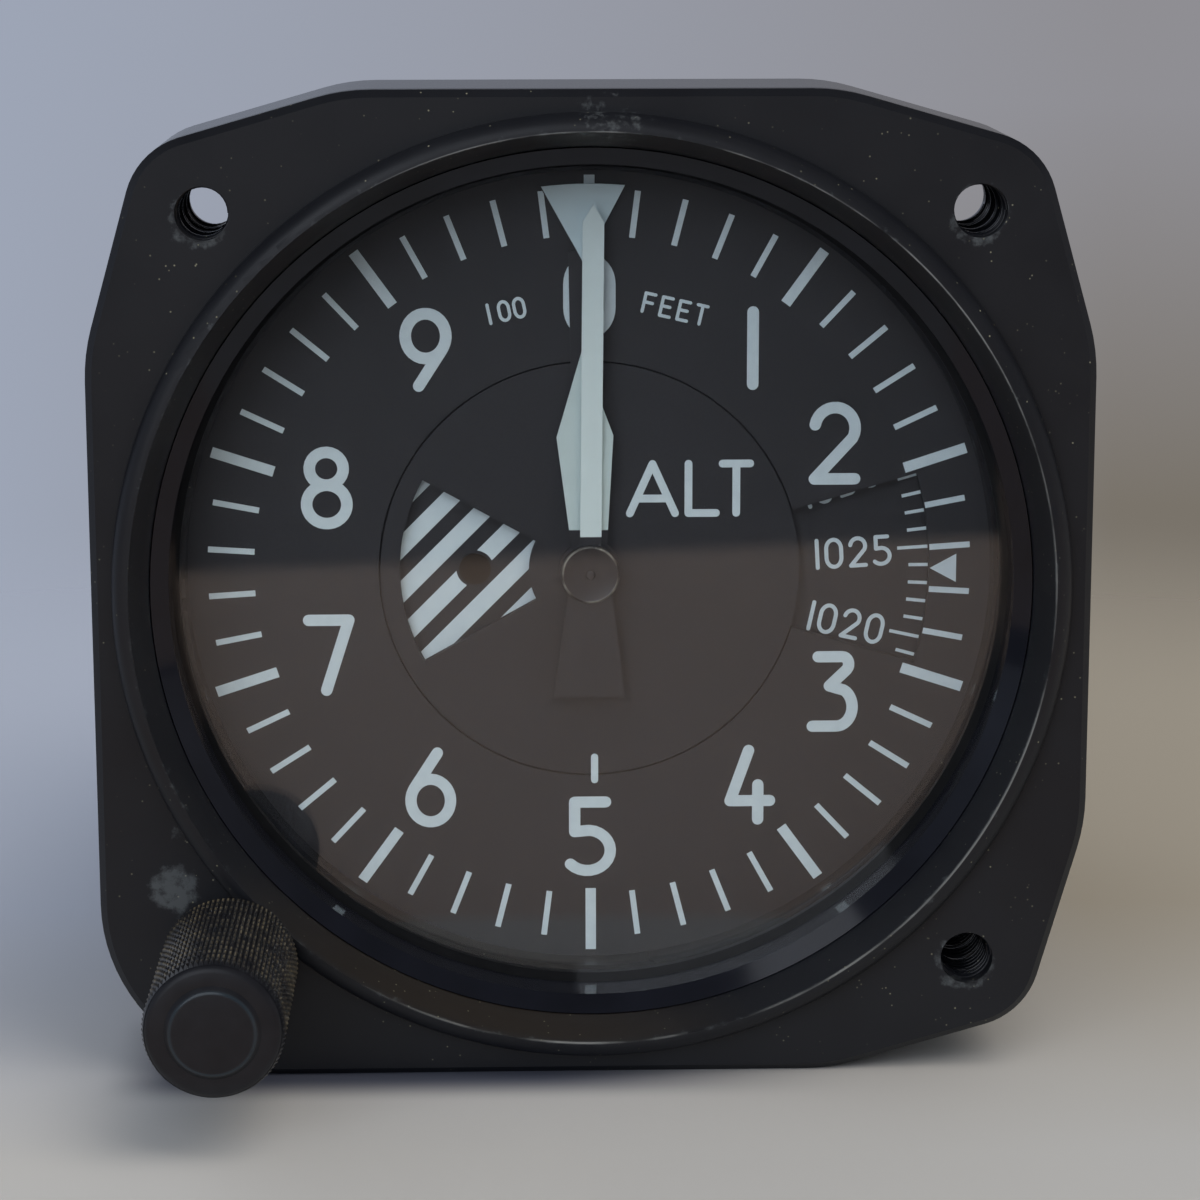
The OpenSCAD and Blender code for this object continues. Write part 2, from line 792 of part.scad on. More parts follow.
module knob_screw() {
    color(steel) faced() along(knob_angle, knob_at) translate([shaft_r + fix, 0, -knob_screw_at])
        rotate([0, 90, 0]) cylinder(r = knob_screw_r, h = knob_r - shaft_r - 1, $fn = small_fn);
}

module baro_idler() {
    color(brass) faced() along(knob_angle, idler_at) difference() {
        slab(scale_front, scale_back) gear(idler_teeth, baro_m, -baro_shift, 3, 180 + 180 / idler_teeth);
        disc(stud_r + run, scale_front - 1, scale_back + 1, small_fn);
    }
}

module baro_scale() {
    color(dial_black) faced() difference() {
        slab(scale_front, scale_front + scale_web_t + 0.2)
            gear(baro_teeth, baro_m, baro_shift, 1, knob_angle);
        disc(scale_in_r, scale_front - 1, scale_back + 1);
    }
}

// One tick for each hectopascal, every fifth one long
module baro_marks() {
    color(mark_white) faced() slab(scale_front - print_t, scale_front)
        for (p = [low_hpa:high_hpa])
            rotate(hpa_deg * (p - rest_hpa) + 0.2)
                tick(window_out_r - (p % 5 == 0 ? baro_long_l : baro_short_l), window_out_r, baro_tick_w);
}

module pointer_hole(r) {
    circle(r = r + fix, $fn = small_fn);
}

module pointer_100() {
    shoulder = long_l - 1.5;
    color(mark_white) faced() rotate([0, 0, -long_set]) slab(long_front, long_back) difference() {
        union() {
            polygon([
                [-long_w / 2, 0],
                [long_w / 2, 0],
                [long_w / 2, shoulder],
                [0, long_l],
                [-long_w / 2, shoulder]
            ]);
            polygon([[-hub_r * 0.65, 0], [-tail_w / 2, -tail_l], [tail_w / 2, -tail_l], [hub_r * 0.65, 0]]);
            circle(r = hub_r);
        }
        pointer_hole(staff_r);
    }
}

module hub_cap() {
    color(black) faced() {
        disc(hub_r, long_front - cap_t, long_front);
        disc(0.35, long_front - cap_t - 0.1, long_front - cap_t, small_fn);
    }
}

module pointer_staff() {
    color(steel) faced() {
        disc(staff_r, long_front, staff_back, small_fn);
        slab(level4, level4 + hand_gear_t) gear(drive_teeth, hand_m, drive_shift, 3, arbor1_angle);
        slab(staff_pinion_front, staff_pinion_front + staff_pinion_t)
            gear(staff_teeth, sector_m, staff_shift, 3, inter_dir);
    }
}

module pointer_1000() {
    color(mark_white) faced() rotate([0, 0, -short_set]) slab(short_front, short_back) difference() {
        union() {
            polygon([
                [-short_root_w / 2, 0],
                [short_root_w / 2, 0],
                [short_w / 2, short_wide_r],
                [0, short_l],
                [-short_w / 2, short_wide_r]
            ]);
            circle(r = hub_r);
        }
        pointer_hole(sleeve1_r);
    }
}

module sleeve_1000() {
    color(brass) faced() difference() {
        union() {
            disc(sleeve1_r, short_front - sleeve_proud, level3 + hand_gear_t, small_fn);
            slab(level2, level2 + hand_gear_t) gear(drive_teeth, hand_m, drive_shift, 3, arbor2_angle);
        }
        disc(sleeve1_in, long_front, level4, small_fn);
    }
}

module wheel_1000() {
    color(brass) faced() reduction_wheel(level3, sleeve1_r, arbor1_angle + 180 / sleeve_teeth);
}

// Toothed wheel of a pointer sleeve with three round lightening holes
module reduction_wheel(front, bore_r, phase) {
    difference() {
        slab(front, front + hand_gear_t) gear(sleeve_teeth, hand_m, 0, 2, phase);
        disc(bore_r + fix, front - 1, front + 2, small_fn);
        for (a = [0:120:240])
            along(a, hand_m * sleeve_teeth * 0.3) disc(1.3, front - 1, front + 2, small_fn);
    }
}

module pointer_10000() {
    neck = marker_r - marker_l;
    far = marker_r + 1;
    far_w = marker_w / 2 * (far - neck) / (sqrt(marker_r ^ 2 - (marker_w / 2) ^ 2) - neck);
    color(mark_white) faced() rotate([0, 0, -marker_set]) slab(marker_front, marker_back) difference() {
        union() {
            translate([-marker_arm_w / 2, 0]) square([marker_arm_w, neck + 1]);
            intersection() {
                polygon([[0, neck], [far_w, far], [-far_w, far]]);
                circle(r = marker_r, $fn = 2 * $fn);
            }
            circle(r = hub_r + 0.2);
        }
        pointer_hole(sleeve2_r);
    }
}

module sleeve_10000() {
    color(brass) faced()
        tube(sleeve2_r, sleeve2_in, marker_front - sleeve_proud, level1 + hand_gear_t, small_fn);
}

module wheel_10000() {
    color(brass) faced() reduction_wheel(level1, sleeve2_r, arbor2_angle + 180 / sleeve_teeth);
}

module flag_disc() {
    color(dial_black) faced() slab(scale_front, scale_front + flag_t) difference() {
        circle(r = flag_r);
        pointer_hole(sleeve2_r);
        translate([-rivet_at, 0]) circle(r = rivet_stem_r + fix, $fn = small_fn);
    }
}

// Slanted white stripes on the part of the disc that shows in the window
module flag_stripes() {
    color(mark_white) faced() slab(scale_front - print_t, scale_front) difference() {
        intersection() {
            circle(r = flag_out_r);
            wedge(flag_out_r + 1, 180 - flag_half - 5, 180 + flag_half + 1);
            rotate(45)
                for (k = [-3:4])
                    translate([-flag_r, stripe_at + k * stripe_pitch]) square([2 * flag_r, stripe_w]);
        }
        circle(r = flag_in_r);
        translate([-rivet_at, 0]) circle(r = rivet_r + 0.25);
    }
}

module flag_rivet() {
    color(black) faced() translate([-rivet_at, 0, 0]) {
        disc(rivet_r, scale_front - 0.15, scale_front, small_fn);
        disc(rivet_stem_r, scale_front, scale_front + flag_t + 0.2, small_fn);
    }
}

// Reduction arbor: pinion cut on a shaft with a pivot at each end
module reduction_arbor(angle, pinion_level, phase) {
    along(angle, hand_centre) {
        disc(pivot_r, plate_front + 0.3, middle_back - 0.2, small_fn);
        disc(arbor_r, plate_back + 0.2, middle_front - 0.2, small_fn);
    }
    along(angle, hand_centre) rotate([0, 0, -angle]) slab(pinion_level, pinion_level + hand_gear_t)
        gear(reduce_teeth, hand_m, 0, 2, phase);
}

module arbor_wheel(angle, level) {
    along(angle, hand_centre) rotate([0, 0, -angle]) difference() {
        slab(level, level + hand_gear_t)
            gear(driven_teeth, hand_m, -drive_shift, 2, angle + 180 + 180 / driven_teeth);
        disc(arbor_r + fix, level - 1, level + 2, small_fn);
        for (a = [0:72:288])
            along(a, hand_m * driven_teeth * 0.3) disc(1.2, level - 1, level + 2, small_fn);
    }
}

module arbor_1() {
    color(steel) faced() reduction_arbor(arbor1_angle, level3, arbor1_angle + 180);
}

module arbor_1_wheel() {
    color(brass) faced() arbor_wheel(arbor1_angle, level4);
}

module arbor_2() {
    color(steel) faced() reduction_arbor(arbor2_angle, level1, arbor2_angle + 180);
}

module arbor_2_wheel() {
    color(brass) faced() arbor_wheel(arbor2_angle, level2);
}

module pivot_hole(pos, r, front, back) {
    translate([pos.x, pos.y, 0]) disc(r + run, front - 1, back + 1, small_fn);
}

module pillar_holes(front, back) {
    for (a = pillar_angles)
        pivot_hole(polar(pillar_at, a), stud_r, front, back);
}

module front_plate() {
    color(brass) faced() difference() {
        union() {
            disc(dial_r, plate_front, plate_back);
            disc(tube_r, dial_back, plate_front + eps);
            disc(tube_r + tube_step, scale_front + scale_web_t + 0.3, plate_front + eps);
        }
        disc(tube_in_r, dial_back - 1, plate_front);
        pivot_hole([0, 0], sleeve2_r, plate_front, plate_back);
        for (a = [arbor1_angle, arbor2_angle])
            pivot_hole(polar(hand_centre, a), pivot_r, plate_front, plate_back);
        pillar_holes(plate_front, plate_back);
    }
}

// Threaded ring that holds the movement in the housing's bore, with slots for a wrench
module movement_ring() {
    color(steel) faced() slab(plate_back, plate_back + 0.8) difference() {
        circle(r = rear_bore_r - seat);
        circle(r = dial_r - 1.6);
        for (a = [20, 200])
            rotate(a) translate([dial_r - 2, -1]) square([1.2, 2]);
    }
}

// Pillars with a thin stud at each end that enters the plates
module pillars(front, back) {
    for (a = pillar_angles)
        along(a, pillar_at) {
            disc(pillar_r, front, back, small_fn);
            disc(stud_r, front - 0.5, back + 0.5, small_fn);
        }
}

module front_pillars() {
    color(steel) faced() pillars(plate_back, middle_front);
}

module middle_plate() {
    color(brass) faced() difference() {
        disc(plate_r, middle_front, middle_back);
        pivot_hole([0, 0], staff_r, middle_front, middle_back);
        for (a = [arbor1_angle, arbor2_angle])
            pivot_hole(polar(hand_centre, a), pivot_r, middle_front, middle_back);
        pivot_hole(inter_pos, pivot_r, middle_front, middle_back);
        pivot_hole([rock_x, rock_y], pivot_r, middle_front, middle_back);
        pillar_holes(middle_front, middle_back);
    }
}

module middle_pillars() {
    color(steel) faced() pillars(middle_back, bridge_front);
}

module bridge_plate() {
    color(brass) faced() difference() {
        disc(plate_r, bridge_front, bridge_back);
        pivot_hole(inter_pos, pivot_r, bridge_front, bridge_back);
        pivot_hole([rock_x, rock_y], rock_r, bridge_front, bridge_back);
        pillar_holes(bridge_front, bridge_back);
        for (p = cock_at)
            pivot_hole(p, stud_r, bridge_front, bridge_back);
    }
}

module cock_pillars() {
    color(steel) faced()
        for (p = cock_at)
            translate([p.x, p.y, 0]) {
                disc(pillar_r, bridge_back, cock_front, small_fn);
                disc(stud_r, bridge_front + 0.2, cock_front + cock_t - 0.2, small_fn);
            }
}

// Small bridge that carries the rear pivot of the rocking shaft
module rocker_cock() {
    color(brass) faced() difference() {
        slab(cock_front, cock_front + cock_t) {
            for (p = cock_at)
                translate(p) circle(r = cock_foot_r, $fn = small_fn);
            translate([rock_x, rock_y]) circle(r = cock_eye_r, $fn = small_fn);
            polygon([
                [rock_x, rock_y + cock_eye_r],
                [rock_x, rock_y - cock_eye_r],
                cock_at[1] - [0, cock_foot_r],
                cock_at[1],
                cock_at[0],
                cock_at[0] + [0, cock_foot_r]
            ]);
        }
        pivot_hole([rock_x, rock_y], pivot_r, cock_front, cock_front + cock_t);
        for (p = cock_at)
            pivot_hole(p, stud_r, cock_front, cock_front + cock_t);
    }
}

module intermediate_arbor() {
    color(steel) faced() translate([inter_pos.x, inter_pos.y, 0]) {
        disc(pivot_r, middle_front + 0.2, bridge_back - 0.2, small_fn);
        disc(arbor_r, middle_back + 0.2, bridge_front - 0.2, small_fn);
        slab(inter_pinion_front, inter_pinion_front + inter_pinion_t)
            gear(staff_teeth, sector_m, staff_shift, 3, mesh_dir + 180 + 180 / staff_teeth);
    }
}

module intermediate_wheel() {
    r = pitch_r(intermediate_teeth, sector_m);
    color(brass) faced() translate([inter_pos.x, inter_pos.y, 0]) difference() {
        slab(wheel_front, wheel_front + wheel_t)
            gear(intermediate_teeth, sector_m, -staff_shift, 1, inter_dir + 180 + 180 / intermediate_teeth);
        disc(arbor_r + fix, wheel_front - 1, wheel_front + 2, small_fn);
        for (a = [0:60:300])
            along(a, r * 0.55) disc(r * 0.2, wheel_front - 1, wheel_front + 2, small_fn);
    }
}

module at_rocker() {
    translate([rock_x, rock_y, 0]) children();
}

module rocking_shaft() {
    color(steel) faced() at_rocker() {
        disc(rock_r, middle_back + 0.2, cock_front - 0.2, small_fn);
        disc(pivot_r, middle_front + 0.2, cock_front + cock_t - 0.2, small_fn);
    }
}

// Teeth on an arc, carried by a hub and three spokes
module sector_gear() {
    most = floor(sector_half / sector_pitch);
    rim_in = sector_r - sector_rim;
    teeth = [
        for (i = [-most:most])
            for (p = tooth(sector_teeth, sector_m, -staff_shift, 1, i * sector_pitch)) p
    ];
    color(brass) faced() at_rocker() rotate([0, 0, rest_dir]) difference() {
        slab(sector_front, sector_front + sector_t) {
            difference() {
                polygon(concat([[0, 0]], teeth));
                circle(r = rim_in);
            }
            for (a = [-sector_half + 4, 0, sector_half - 4])
                rotate(a) translate([0, -0.8]) square([rim_in + 1, 1.6]);
            circle(r = 2.6, $fn = small_fn);
        }
        disc(rock_r + fix, sector_front - 1, sector_front + 2, small_fn);
    }
}

module balance_weight() {
    front = middle_back + 1;
    back = sector_front - 0.4;
    color(brass) faced() at_rocker() rotate([0, 0, rest_dir + 180]) difference() {
        slab(front, back) {
            translate([0, -1.2]) square([7, 2.4]);
            circle(r = 2.6, $fn = small_fn);
            difference() {
                intersection() {
                    circle(r = 9.5);
                    wedge(10, -28, 28);
                }
                circle(r = 5.5);
            }
        }
        disc(rock_r + fix, front - 1, back + 1, small_fn);
    }
}

module rocker_arm() {
    color(steel) faced() at_rocker() rotate([0, 0, arm_dir]) difference() {
        union() {
            slab(arm_front, arm_front + arm_t) stadium(1.6, 0, rock_arm);
            disc(2.4, arm_front, arm_front + arm_t, small_fn);
            translate([rock_arm, 0, 0]) disc(pin_r, arm_front + arm_t, pin_back, small_fn);
        }
        disc(rock_r + fix, arm_front - 1, arm_front + 3, small_fn);
    }
}

// Link from the free end of the capsules to the pin of the rocking arm
module capsule_link() {
    axis_y = rock_y + rock_arm;
    half = rod_w / 2;
    color(steel) faced() slab(link_front, link_front + link_t) difference() {
        union() {
            translate([link_root, axis_y - foot_w / 2]) square([foot_t, foot_w]);
            polygon([
                [link_root, axis_y - half],
                link_pin - [0, half],
                link_pin + [0, half],
                [link_root, axis_y + half]
            ]);
            translate(link_pin) circle(r = eye_r, $fn = small_fn);
        }
        translate(link_pin) circle(r = pin_r + run, $fn = small_fn);
    }
}

// Side profile of one capsule: a thin rim and concentric corrugations
function capsule_side(x, dir) = [
    for (k = [0:6])
        let (half = k == 0 ? capsule_rim : capsule_t / 2 - 0.35 * (k % 2))
        [capsule_r - 1 - k * (capsule_r - 5) / 6.5, x + dir * half]
];

module capsule_profile(x) {
    up = capsule_side(x, 1);
    down = capsule_side(x, -1);
    polygon(concat(
        [[capsule_r, x - capsule_rim], [capsule_r, x + capsule_rim]],
        up,
        [[0, x + capsule_t / 2], [0, x - capsule_t / 2]],
        [for (k = [len(down) - 1:-1:0]) down[k]]
    ));
}

module capsule_stack() {
    color(copper) faced() translate([-capsule_base, rock_y + rock_arm, -capsule_depth]) rotate([0, 90, 0])
        rotate_extrude() {
            for (k = [0:capsule_n - 1])
                capsule_profile((k + 0.5) * capsule_pitch);
            square([3, capsule_n * capsule_pitch]);
            translate([0, -stem_l]) square([2, stem_l + 1]);
            translate([0, -stem_l - 3]) square([stem_r, 4]);
        }
}

module capsule_bracket() {
    wall_x = -capsule_base - stem_l;
    half = 7;
    t = 1.5;
    color(brass) faced() translate([0, rock_y + rock_arm, 0]) difference() {
        union() {
            slab(bridge_back, capsule_depth + half)
                translate([wall_x - t, -half]) square([t, 2 * half]);
            slab(bridge_back, bridge_back + t) translate([wall_x - t, -half]) square([7, 2 * half]);
        }
        translate([wall_x - 2 * t, 0, -capsule_depth]) rotate([0, 90, 0])
            cylinder(r = stem_r + fix, h = 3 * t, $fn = small_fn);
    }
}

// Drawn can with a wider collar over the spigot and screw bosses inside its rear end
module case_can() {
    color(black) faced() difference() {
        union() {
            tube(case_r, case_in_r, housing_back, collar_back);
            tube(case_r, body_in_r, collar_back, collar_back + case_wall);
            tube(body_r, body_in_r, collar_back, case_end);
            for (a = rear_screw_angles)
                along(a, rear_screw_at)
                    disc(case_boss_r, case_end - rear_lip - boss_l, case_end - rear_lip, small_fn);
        }
        for (a = rear_screw_angles)
            along(a, rear_screw_at) disc(screw_r + fix, case_end - boss_l, case_end + 1, small_fn);
        for (a = [0:90:270])
            rotate([0, 0, a]) {
                case_screw_hole(run);
                translate([case_r - case_head_sink, 0, -case_screw_depth]) rotate([0, 90, 0])
                    cylinder(r = case_head_r + run, h = 3, $fn = small_fn);
            }
    }
}

module case_screws() {
    shank_in = rear_bore_r + seat;
    shank_l = case_r - case_head_t - shank_in;
    color(steel) faced()
        for (a = [0:90:270])
            rotate([0, 0, a]) translate([0, 0, -case_screw_depth]) rotate([0, 90, 0]) {
                translate([0, 0, shank_in]) cylinder(r = screw_r, h = shank_l, $fn = small_fn);
                translate([0, 0, case_r - case_head_sink])
                    cylinder(r = case_head_r, h = case_head_t, $fn = small_fn);
            }
}

module rear_cover() {
    color(black) faced() difference() {
        union() {
            disc(body_r, case_end, case_end + rear_t);
            disc(body_in_r - seat, case_end - rear_lip, case_end);
        }
        difference() {
            disc(body_in_r + 1, case_end - 1.4, case_end - 0.3);
            disc(body_in_r - seat - seal_w, case_end - 2, case_end);
        }
        for (a = rear_screw_angles)
            along(a, rear_screw_at) disc(screw_r + run, case_end - 5, case_end + rear_t + 1, small_fn);
        translate([0, -port_drop, 0]) disc(port_shank_r + fix, case_end - 5, case_end + rear_t + 1);
    }
}

module rear_seal() {
    in_r = body_in_r - seat - seal_w + fix;
    color(rubber) faced() tube(body_in_r - fix, in_r, case_end - 1.4, case_end - 0.4);
}

module rear_screws() {
    rear_head_back = case_end + rear_t + rear_head_t;
    color(steel) faced()
        for (a = rear_screw_angles)
            along(a, rear_screw_at) difference() {
                union() {
                    disc(screw_r, case_end - rear_lip - 5, case_end + rear_t, small_fn);
                    disc(rear_head_r, case_end + rear_t, rear_head_back, small_fn);
                }
                slab(rear_head_back - screw_slot_d, rear_head_back + 1)
                    square([2 * rear_head_r + 1, screw_slot_w], center = true);
            }
}

// Pipe fitting with wrench flats
module static_port() {
    back = case_end + rear_t + port_hex_t;
    color(steel) faced() translate([0, -port_drop, 0]) difference() {
        union() {
            disc(port_shank_r, case_end - rear_lip - port_nut_t, case_end + rear_t);
            slab(case_end + rear_t, back) circle(r = port_hex_r, $fn = 6);
            disc(port_nut_r, case_end - rear_lip - port_nut_t, case_end - rear_lip);
        }
        disc(port_r, back - port_l, back + 1);
        disc(port_hole_r, case_end - rear_lip - port_nut_t - 1, back, small_fn);
    }
}

front_housing();
lens_ring();
lens_glass();
lens_seal();
dial_plate();
dial_marks();
centre_plate();
dial_spacer();
gear_cover();
gear_cover_screws();
knob_bush();
knob_seal();
setting_knob();
knob_shaft();
knob_screw();
baro_idler();
baro_scale();
baro_marks();
pointer_100();
hub_cap();
pointer_staff();
pointer_1000();
sleeve_1000();
wheel_1000();
pointer_10000();
sleeve_10000();
wheel_10000();
flag_disc();
flag_stripes();
flag_rivet();
arbor_1();
arbor_1_wheel();
arbor_2();
arbor_2_wheel();
front_plate();
movement_ring();
front_pillars();
middle_plate();
middle_pillars();
bridge_plate();
cock_pillars();
rocker_cock();
intermediate_arbor();
intermediate_wheel();
rocking_shaft();
sector_gear();
balance_weight();
rocker_arm();
capsule_link();
capsule_stack();
capsule_bracket();
case_can();
case_screws();
rear_cover();
rear_seal();
rear_screws();
static_port();
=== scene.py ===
"""Looks of a three-pointer aircraft altimeter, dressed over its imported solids."""

import json
import math

import bmesh
import bpy
from bpy.props import FloatProperty, FloatVectorProperty, IntProperty, PointerProperty
from bpy.types import Operator, Panel, PropertyGroup
from mathutils import Matrix, Vector


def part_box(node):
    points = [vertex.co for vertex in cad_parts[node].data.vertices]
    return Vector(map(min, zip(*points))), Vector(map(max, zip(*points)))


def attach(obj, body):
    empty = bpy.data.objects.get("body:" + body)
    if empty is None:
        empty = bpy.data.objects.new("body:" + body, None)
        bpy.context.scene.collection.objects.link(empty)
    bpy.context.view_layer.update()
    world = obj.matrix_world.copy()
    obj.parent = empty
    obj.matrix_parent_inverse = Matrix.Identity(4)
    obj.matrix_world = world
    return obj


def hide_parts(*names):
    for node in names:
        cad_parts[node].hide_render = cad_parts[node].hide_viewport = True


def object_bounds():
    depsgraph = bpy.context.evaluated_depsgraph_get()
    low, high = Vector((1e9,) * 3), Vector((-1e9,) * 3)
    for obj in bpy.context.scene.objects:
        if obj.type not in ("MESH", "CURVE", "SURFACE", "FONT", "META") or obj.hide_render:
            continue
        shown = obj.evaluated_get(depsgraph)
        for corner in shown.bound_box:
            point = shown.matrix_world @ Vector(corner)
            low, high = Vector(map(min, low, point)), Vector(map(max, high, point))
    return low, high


bl_info = {
    "name": "Altimeter dressing",
    "version": (1, 0, 0),
    "blender": (4, 5, 0),
    "location": "3D View > Sidebar > Altimeter",
    "description": "Finishes, lettering, knurling, threads and stage for a panel altimeter",
    "category": "Object",
}

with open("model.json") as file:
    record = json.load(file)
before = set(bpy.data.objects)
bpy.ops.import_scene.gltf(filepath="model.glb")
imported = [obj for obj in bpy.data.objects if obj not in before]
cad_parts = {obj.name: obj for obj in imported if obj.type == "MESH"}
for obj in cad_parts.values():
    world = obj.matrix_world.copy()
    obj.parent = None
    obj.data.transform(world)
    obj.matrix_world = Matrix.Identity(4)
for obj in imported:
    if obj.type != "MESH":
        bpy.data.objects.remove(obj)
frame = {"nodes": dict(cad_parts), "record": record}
CAD_BOX = [list(corner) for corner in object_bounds()]
NODES = frame["nodes"]
MM = 0.001
DIAL_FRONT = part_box("dial_plate")[0].y
SCALE_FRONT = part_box("baro_scale")[0].y
FLOOR_Z = CAD_BOX[0][2]
KNOB_AT = sum(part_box("setting_knob"), Vector()) / 2

HOLE_AT = 62.865 / 2 * MM  # half the square that the mounting holes stand on
HOLES = ((-1, 1), (1, 1), (1, -1))  # corners with a hole; the knob has the fourth
BEZEL_LIP = 38.0 * MM  # radius of the edge round the bezel's mouth
KNOB_BOSS = 3.4 * MM  # radius of the raised middle of the knob's face
KNURL_OVERLAP = 1.35  # length of a knurl point in row steps, so that the cross cuts are shallow
SHARP_ANGLE = math.radians(35)  # edges that turn more stay sharp
WELD = 1e-7  # metres within which doubled points are merged


def linear(hex_text):
    """An sRGB hex colour as linear RGBA."""
    parts = [int(hex_text[i : i + 2], 16) / 255 for i in (1, 3, 5)]
    return tuple(c / 12.92 if c <= 0.04045 else ((c + 0.055) / 1.055) ** 2.4 for c in parts) + (1.0,)


# ---- nodes ----
NOISE, RANGE, MIX = "ShaderNodeTexNoise", "ShaderNodeMapRange", "ShaderNodeMix"
MATH, VECTOR, AXES = "ShaderNodeMath", "ShaderNodeVectorMath", "ShaderNodeSeparateXYZ"
ACROSS = (1, 0, 1)  # keeps X and Z of a place, so that distances are from an axis along Y


def join(node, inputs):
    """Fills a node's inputs: a value is set on the socket, an output or a node's first one is linked."""
    for key, value in inputs.items():
        if isinstance(value, bpy.types.Node):
            value = next(output for output in value.outputs if output.enabled)
        if isinstance(value, bpy.types.NodeSocket):
            node.id_data.links.new(value, node.inputs[key])
        else:
            node.inputs[key].default_value = value


def add(tree, kind, inputs=None, **settings):
    """Adds a node with its settings and inputs."""
    node = tree.nodes.new(kind)
    for name, value in settings.items():
        setattr(node, name, value)
    join(node, inputs or {})
    return node


# ---- settings ----
COLOUR = {"subtype": "COLOR", "size": 4}


class DialSettings(PropertyGroup):
    numeral_h: FloatProperty(
        name="Numeral height", description="Height of the ten dial numerals", default=7.1 * MM, unit="LENGTH"
    )
    numeral_stroke: FloatProperty(
        name="Numeral stroke", description="Stroke width of the dial numerals", default=0.98 * MM, unit="LENGTH"
    )
    word_h: FloatProperty(
        name="Word height", description="Height of the large word on the centre plate", default=4.9 * MM, unit="LENGTH"
    )
    scale_h: FloatProperty(
        name="Scale digit height", description="Height of the pressure digits", default=2.7 * MM, unit="LENGTH"
    )
    paint_t: FloatProperty(
        name="Paint thickness", description="How far the ink stands off its plate", default=0.05 * MM, unit="LENGTH"
    )


class KnobSettings(PropertyGroup):
    around: IntProperty(name="Points around", description="Knurl points in one row round the knob", default=84, min=12)
    length: FloatProperty(
        name="Point length", description="Length of one knurl point along the knob", default=1.2 * MM, unit="LENGTH"
    )
    height: FloatProperty(
        name="Point height", description="Height of one knurl point", default=0.26 * MM, unit="LENGTH"
    )


class FinishSettings(PropertyGroup):
    housing: FloatVectorProperty(
        name="Housing", description="Black anodised metal", **COLOUR, default=linear("#0f1015")
    )
    dial: FloatVectorProperty(name="Dial", description="Matt black dial lacquer", **COLOUR, default=linear("#19181c"))
    paint: FloatVectorProperty(
        name="Marks", description="Bluish white lettering paint", **COLOUR, default=linear("#dbe7ea")
    )
    brass: FloatVectorProperty(name="Brass", description="Movement brass", **COLOUR, default=linear("#c9a24e"))


class StageSettings(PropertyGroup):
    key_power: FloatProperty(name="Key light", description="Power of the overhead soft box", default=5.2, unit="POWER")
    fill_power: FloatProperty(name="Fill light", description="Power of the front soft box", default=5.4, unit="POWER")
    back_power: FloatProperty(
        name="Back light", description="Power of the soft box behind the case", default=1.6, unit="POWER"
    )
    floor: FloatVectorProperty(name="Floor", description="Pale floor", **COLOUR, default=linear("#bab9b6"))


# ---- meshes ----
def new_object(name, data):
    """An object in the scene for a mesh, lamp or camera."""
    made = bpy.data.objects.new(name, data)
    bpy.context.scene.collection.objects.link(made)
    return made


def to_mesh(bm, name, material):
    """Turns a bmesh into a mesh with one material."""
    mesh = bpy.data.meshes.new(name)
    bm.to_mesh(mesh)
    bm.free()
    mesh.materials.append(material)
    return mesh


def finish_piece(bm, name, material, body, smooth=True):
    """Turns a bmesh into a piece that rides on a body."""
    bmesh.ops.remove_doubles(bm, verts=bm.verts, dist=WELD)
    bmesh.ops.recalc_face_normals(bm, faces=bm.faces)
    mesh = to_mesh(bm, name, material)
    if smooth:
        mesh.shade_smooth()
        mesh.set_sharp_from_angle(angle=SHARP_ANGLE)
    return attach(new_object(name, mesh), body)


def lathe(bm, profile, axis, steps=128):
    """Turns a profile of (radius, y) round an axis along Y; a radius of zero closes an end."""
    rings = []
    for radius, y in profile:
        if radius == 0:
            rings.append([bm.verts.new((axis.x, y, axis.z))])
            continue
        turn = [2 * math.pi * k / steps for k in range(steps)]
        rings.append([bm.verts.new((axis.x + radius * math.cos(a), y, axis.z + radius * math.sin(a))) for a in turn])
    for low, high in zip(rings, rings[1:]):
        for k in range(steps):
            n = (k + 1) % steps
            corners = [low[k % len(low)], low[n % len(low)], high[n % len(high)], high[k % len(high)]]
            face = list(dict.fromkeys(corners))
            if len(face) > 2:
                bm.faces.new(face)


def arc(cx, cy, rx, ry, start, end, steps=16):
    """Points on an ellipse between two angles in degrees."""
    angles = [math.radians(start + (end - start) * k / steps) for k in range(steps + 1)]
    return [(cx + rx * math.cos(a), cy + ry * math.sin(a)) for a in angles]


def upside_down(strokes):
    """The strokes of a character turned by half a turn in its box."""
    return [([(1 - x, 1 - y) for x, y in points], closed) for points, closed in strokes]


SIX = [(arc(0.5, 0.31, 0.5, 0.31, 0, 350, 28), True), ([(0.68, 1.0), (0.09, 0.49)], False)]
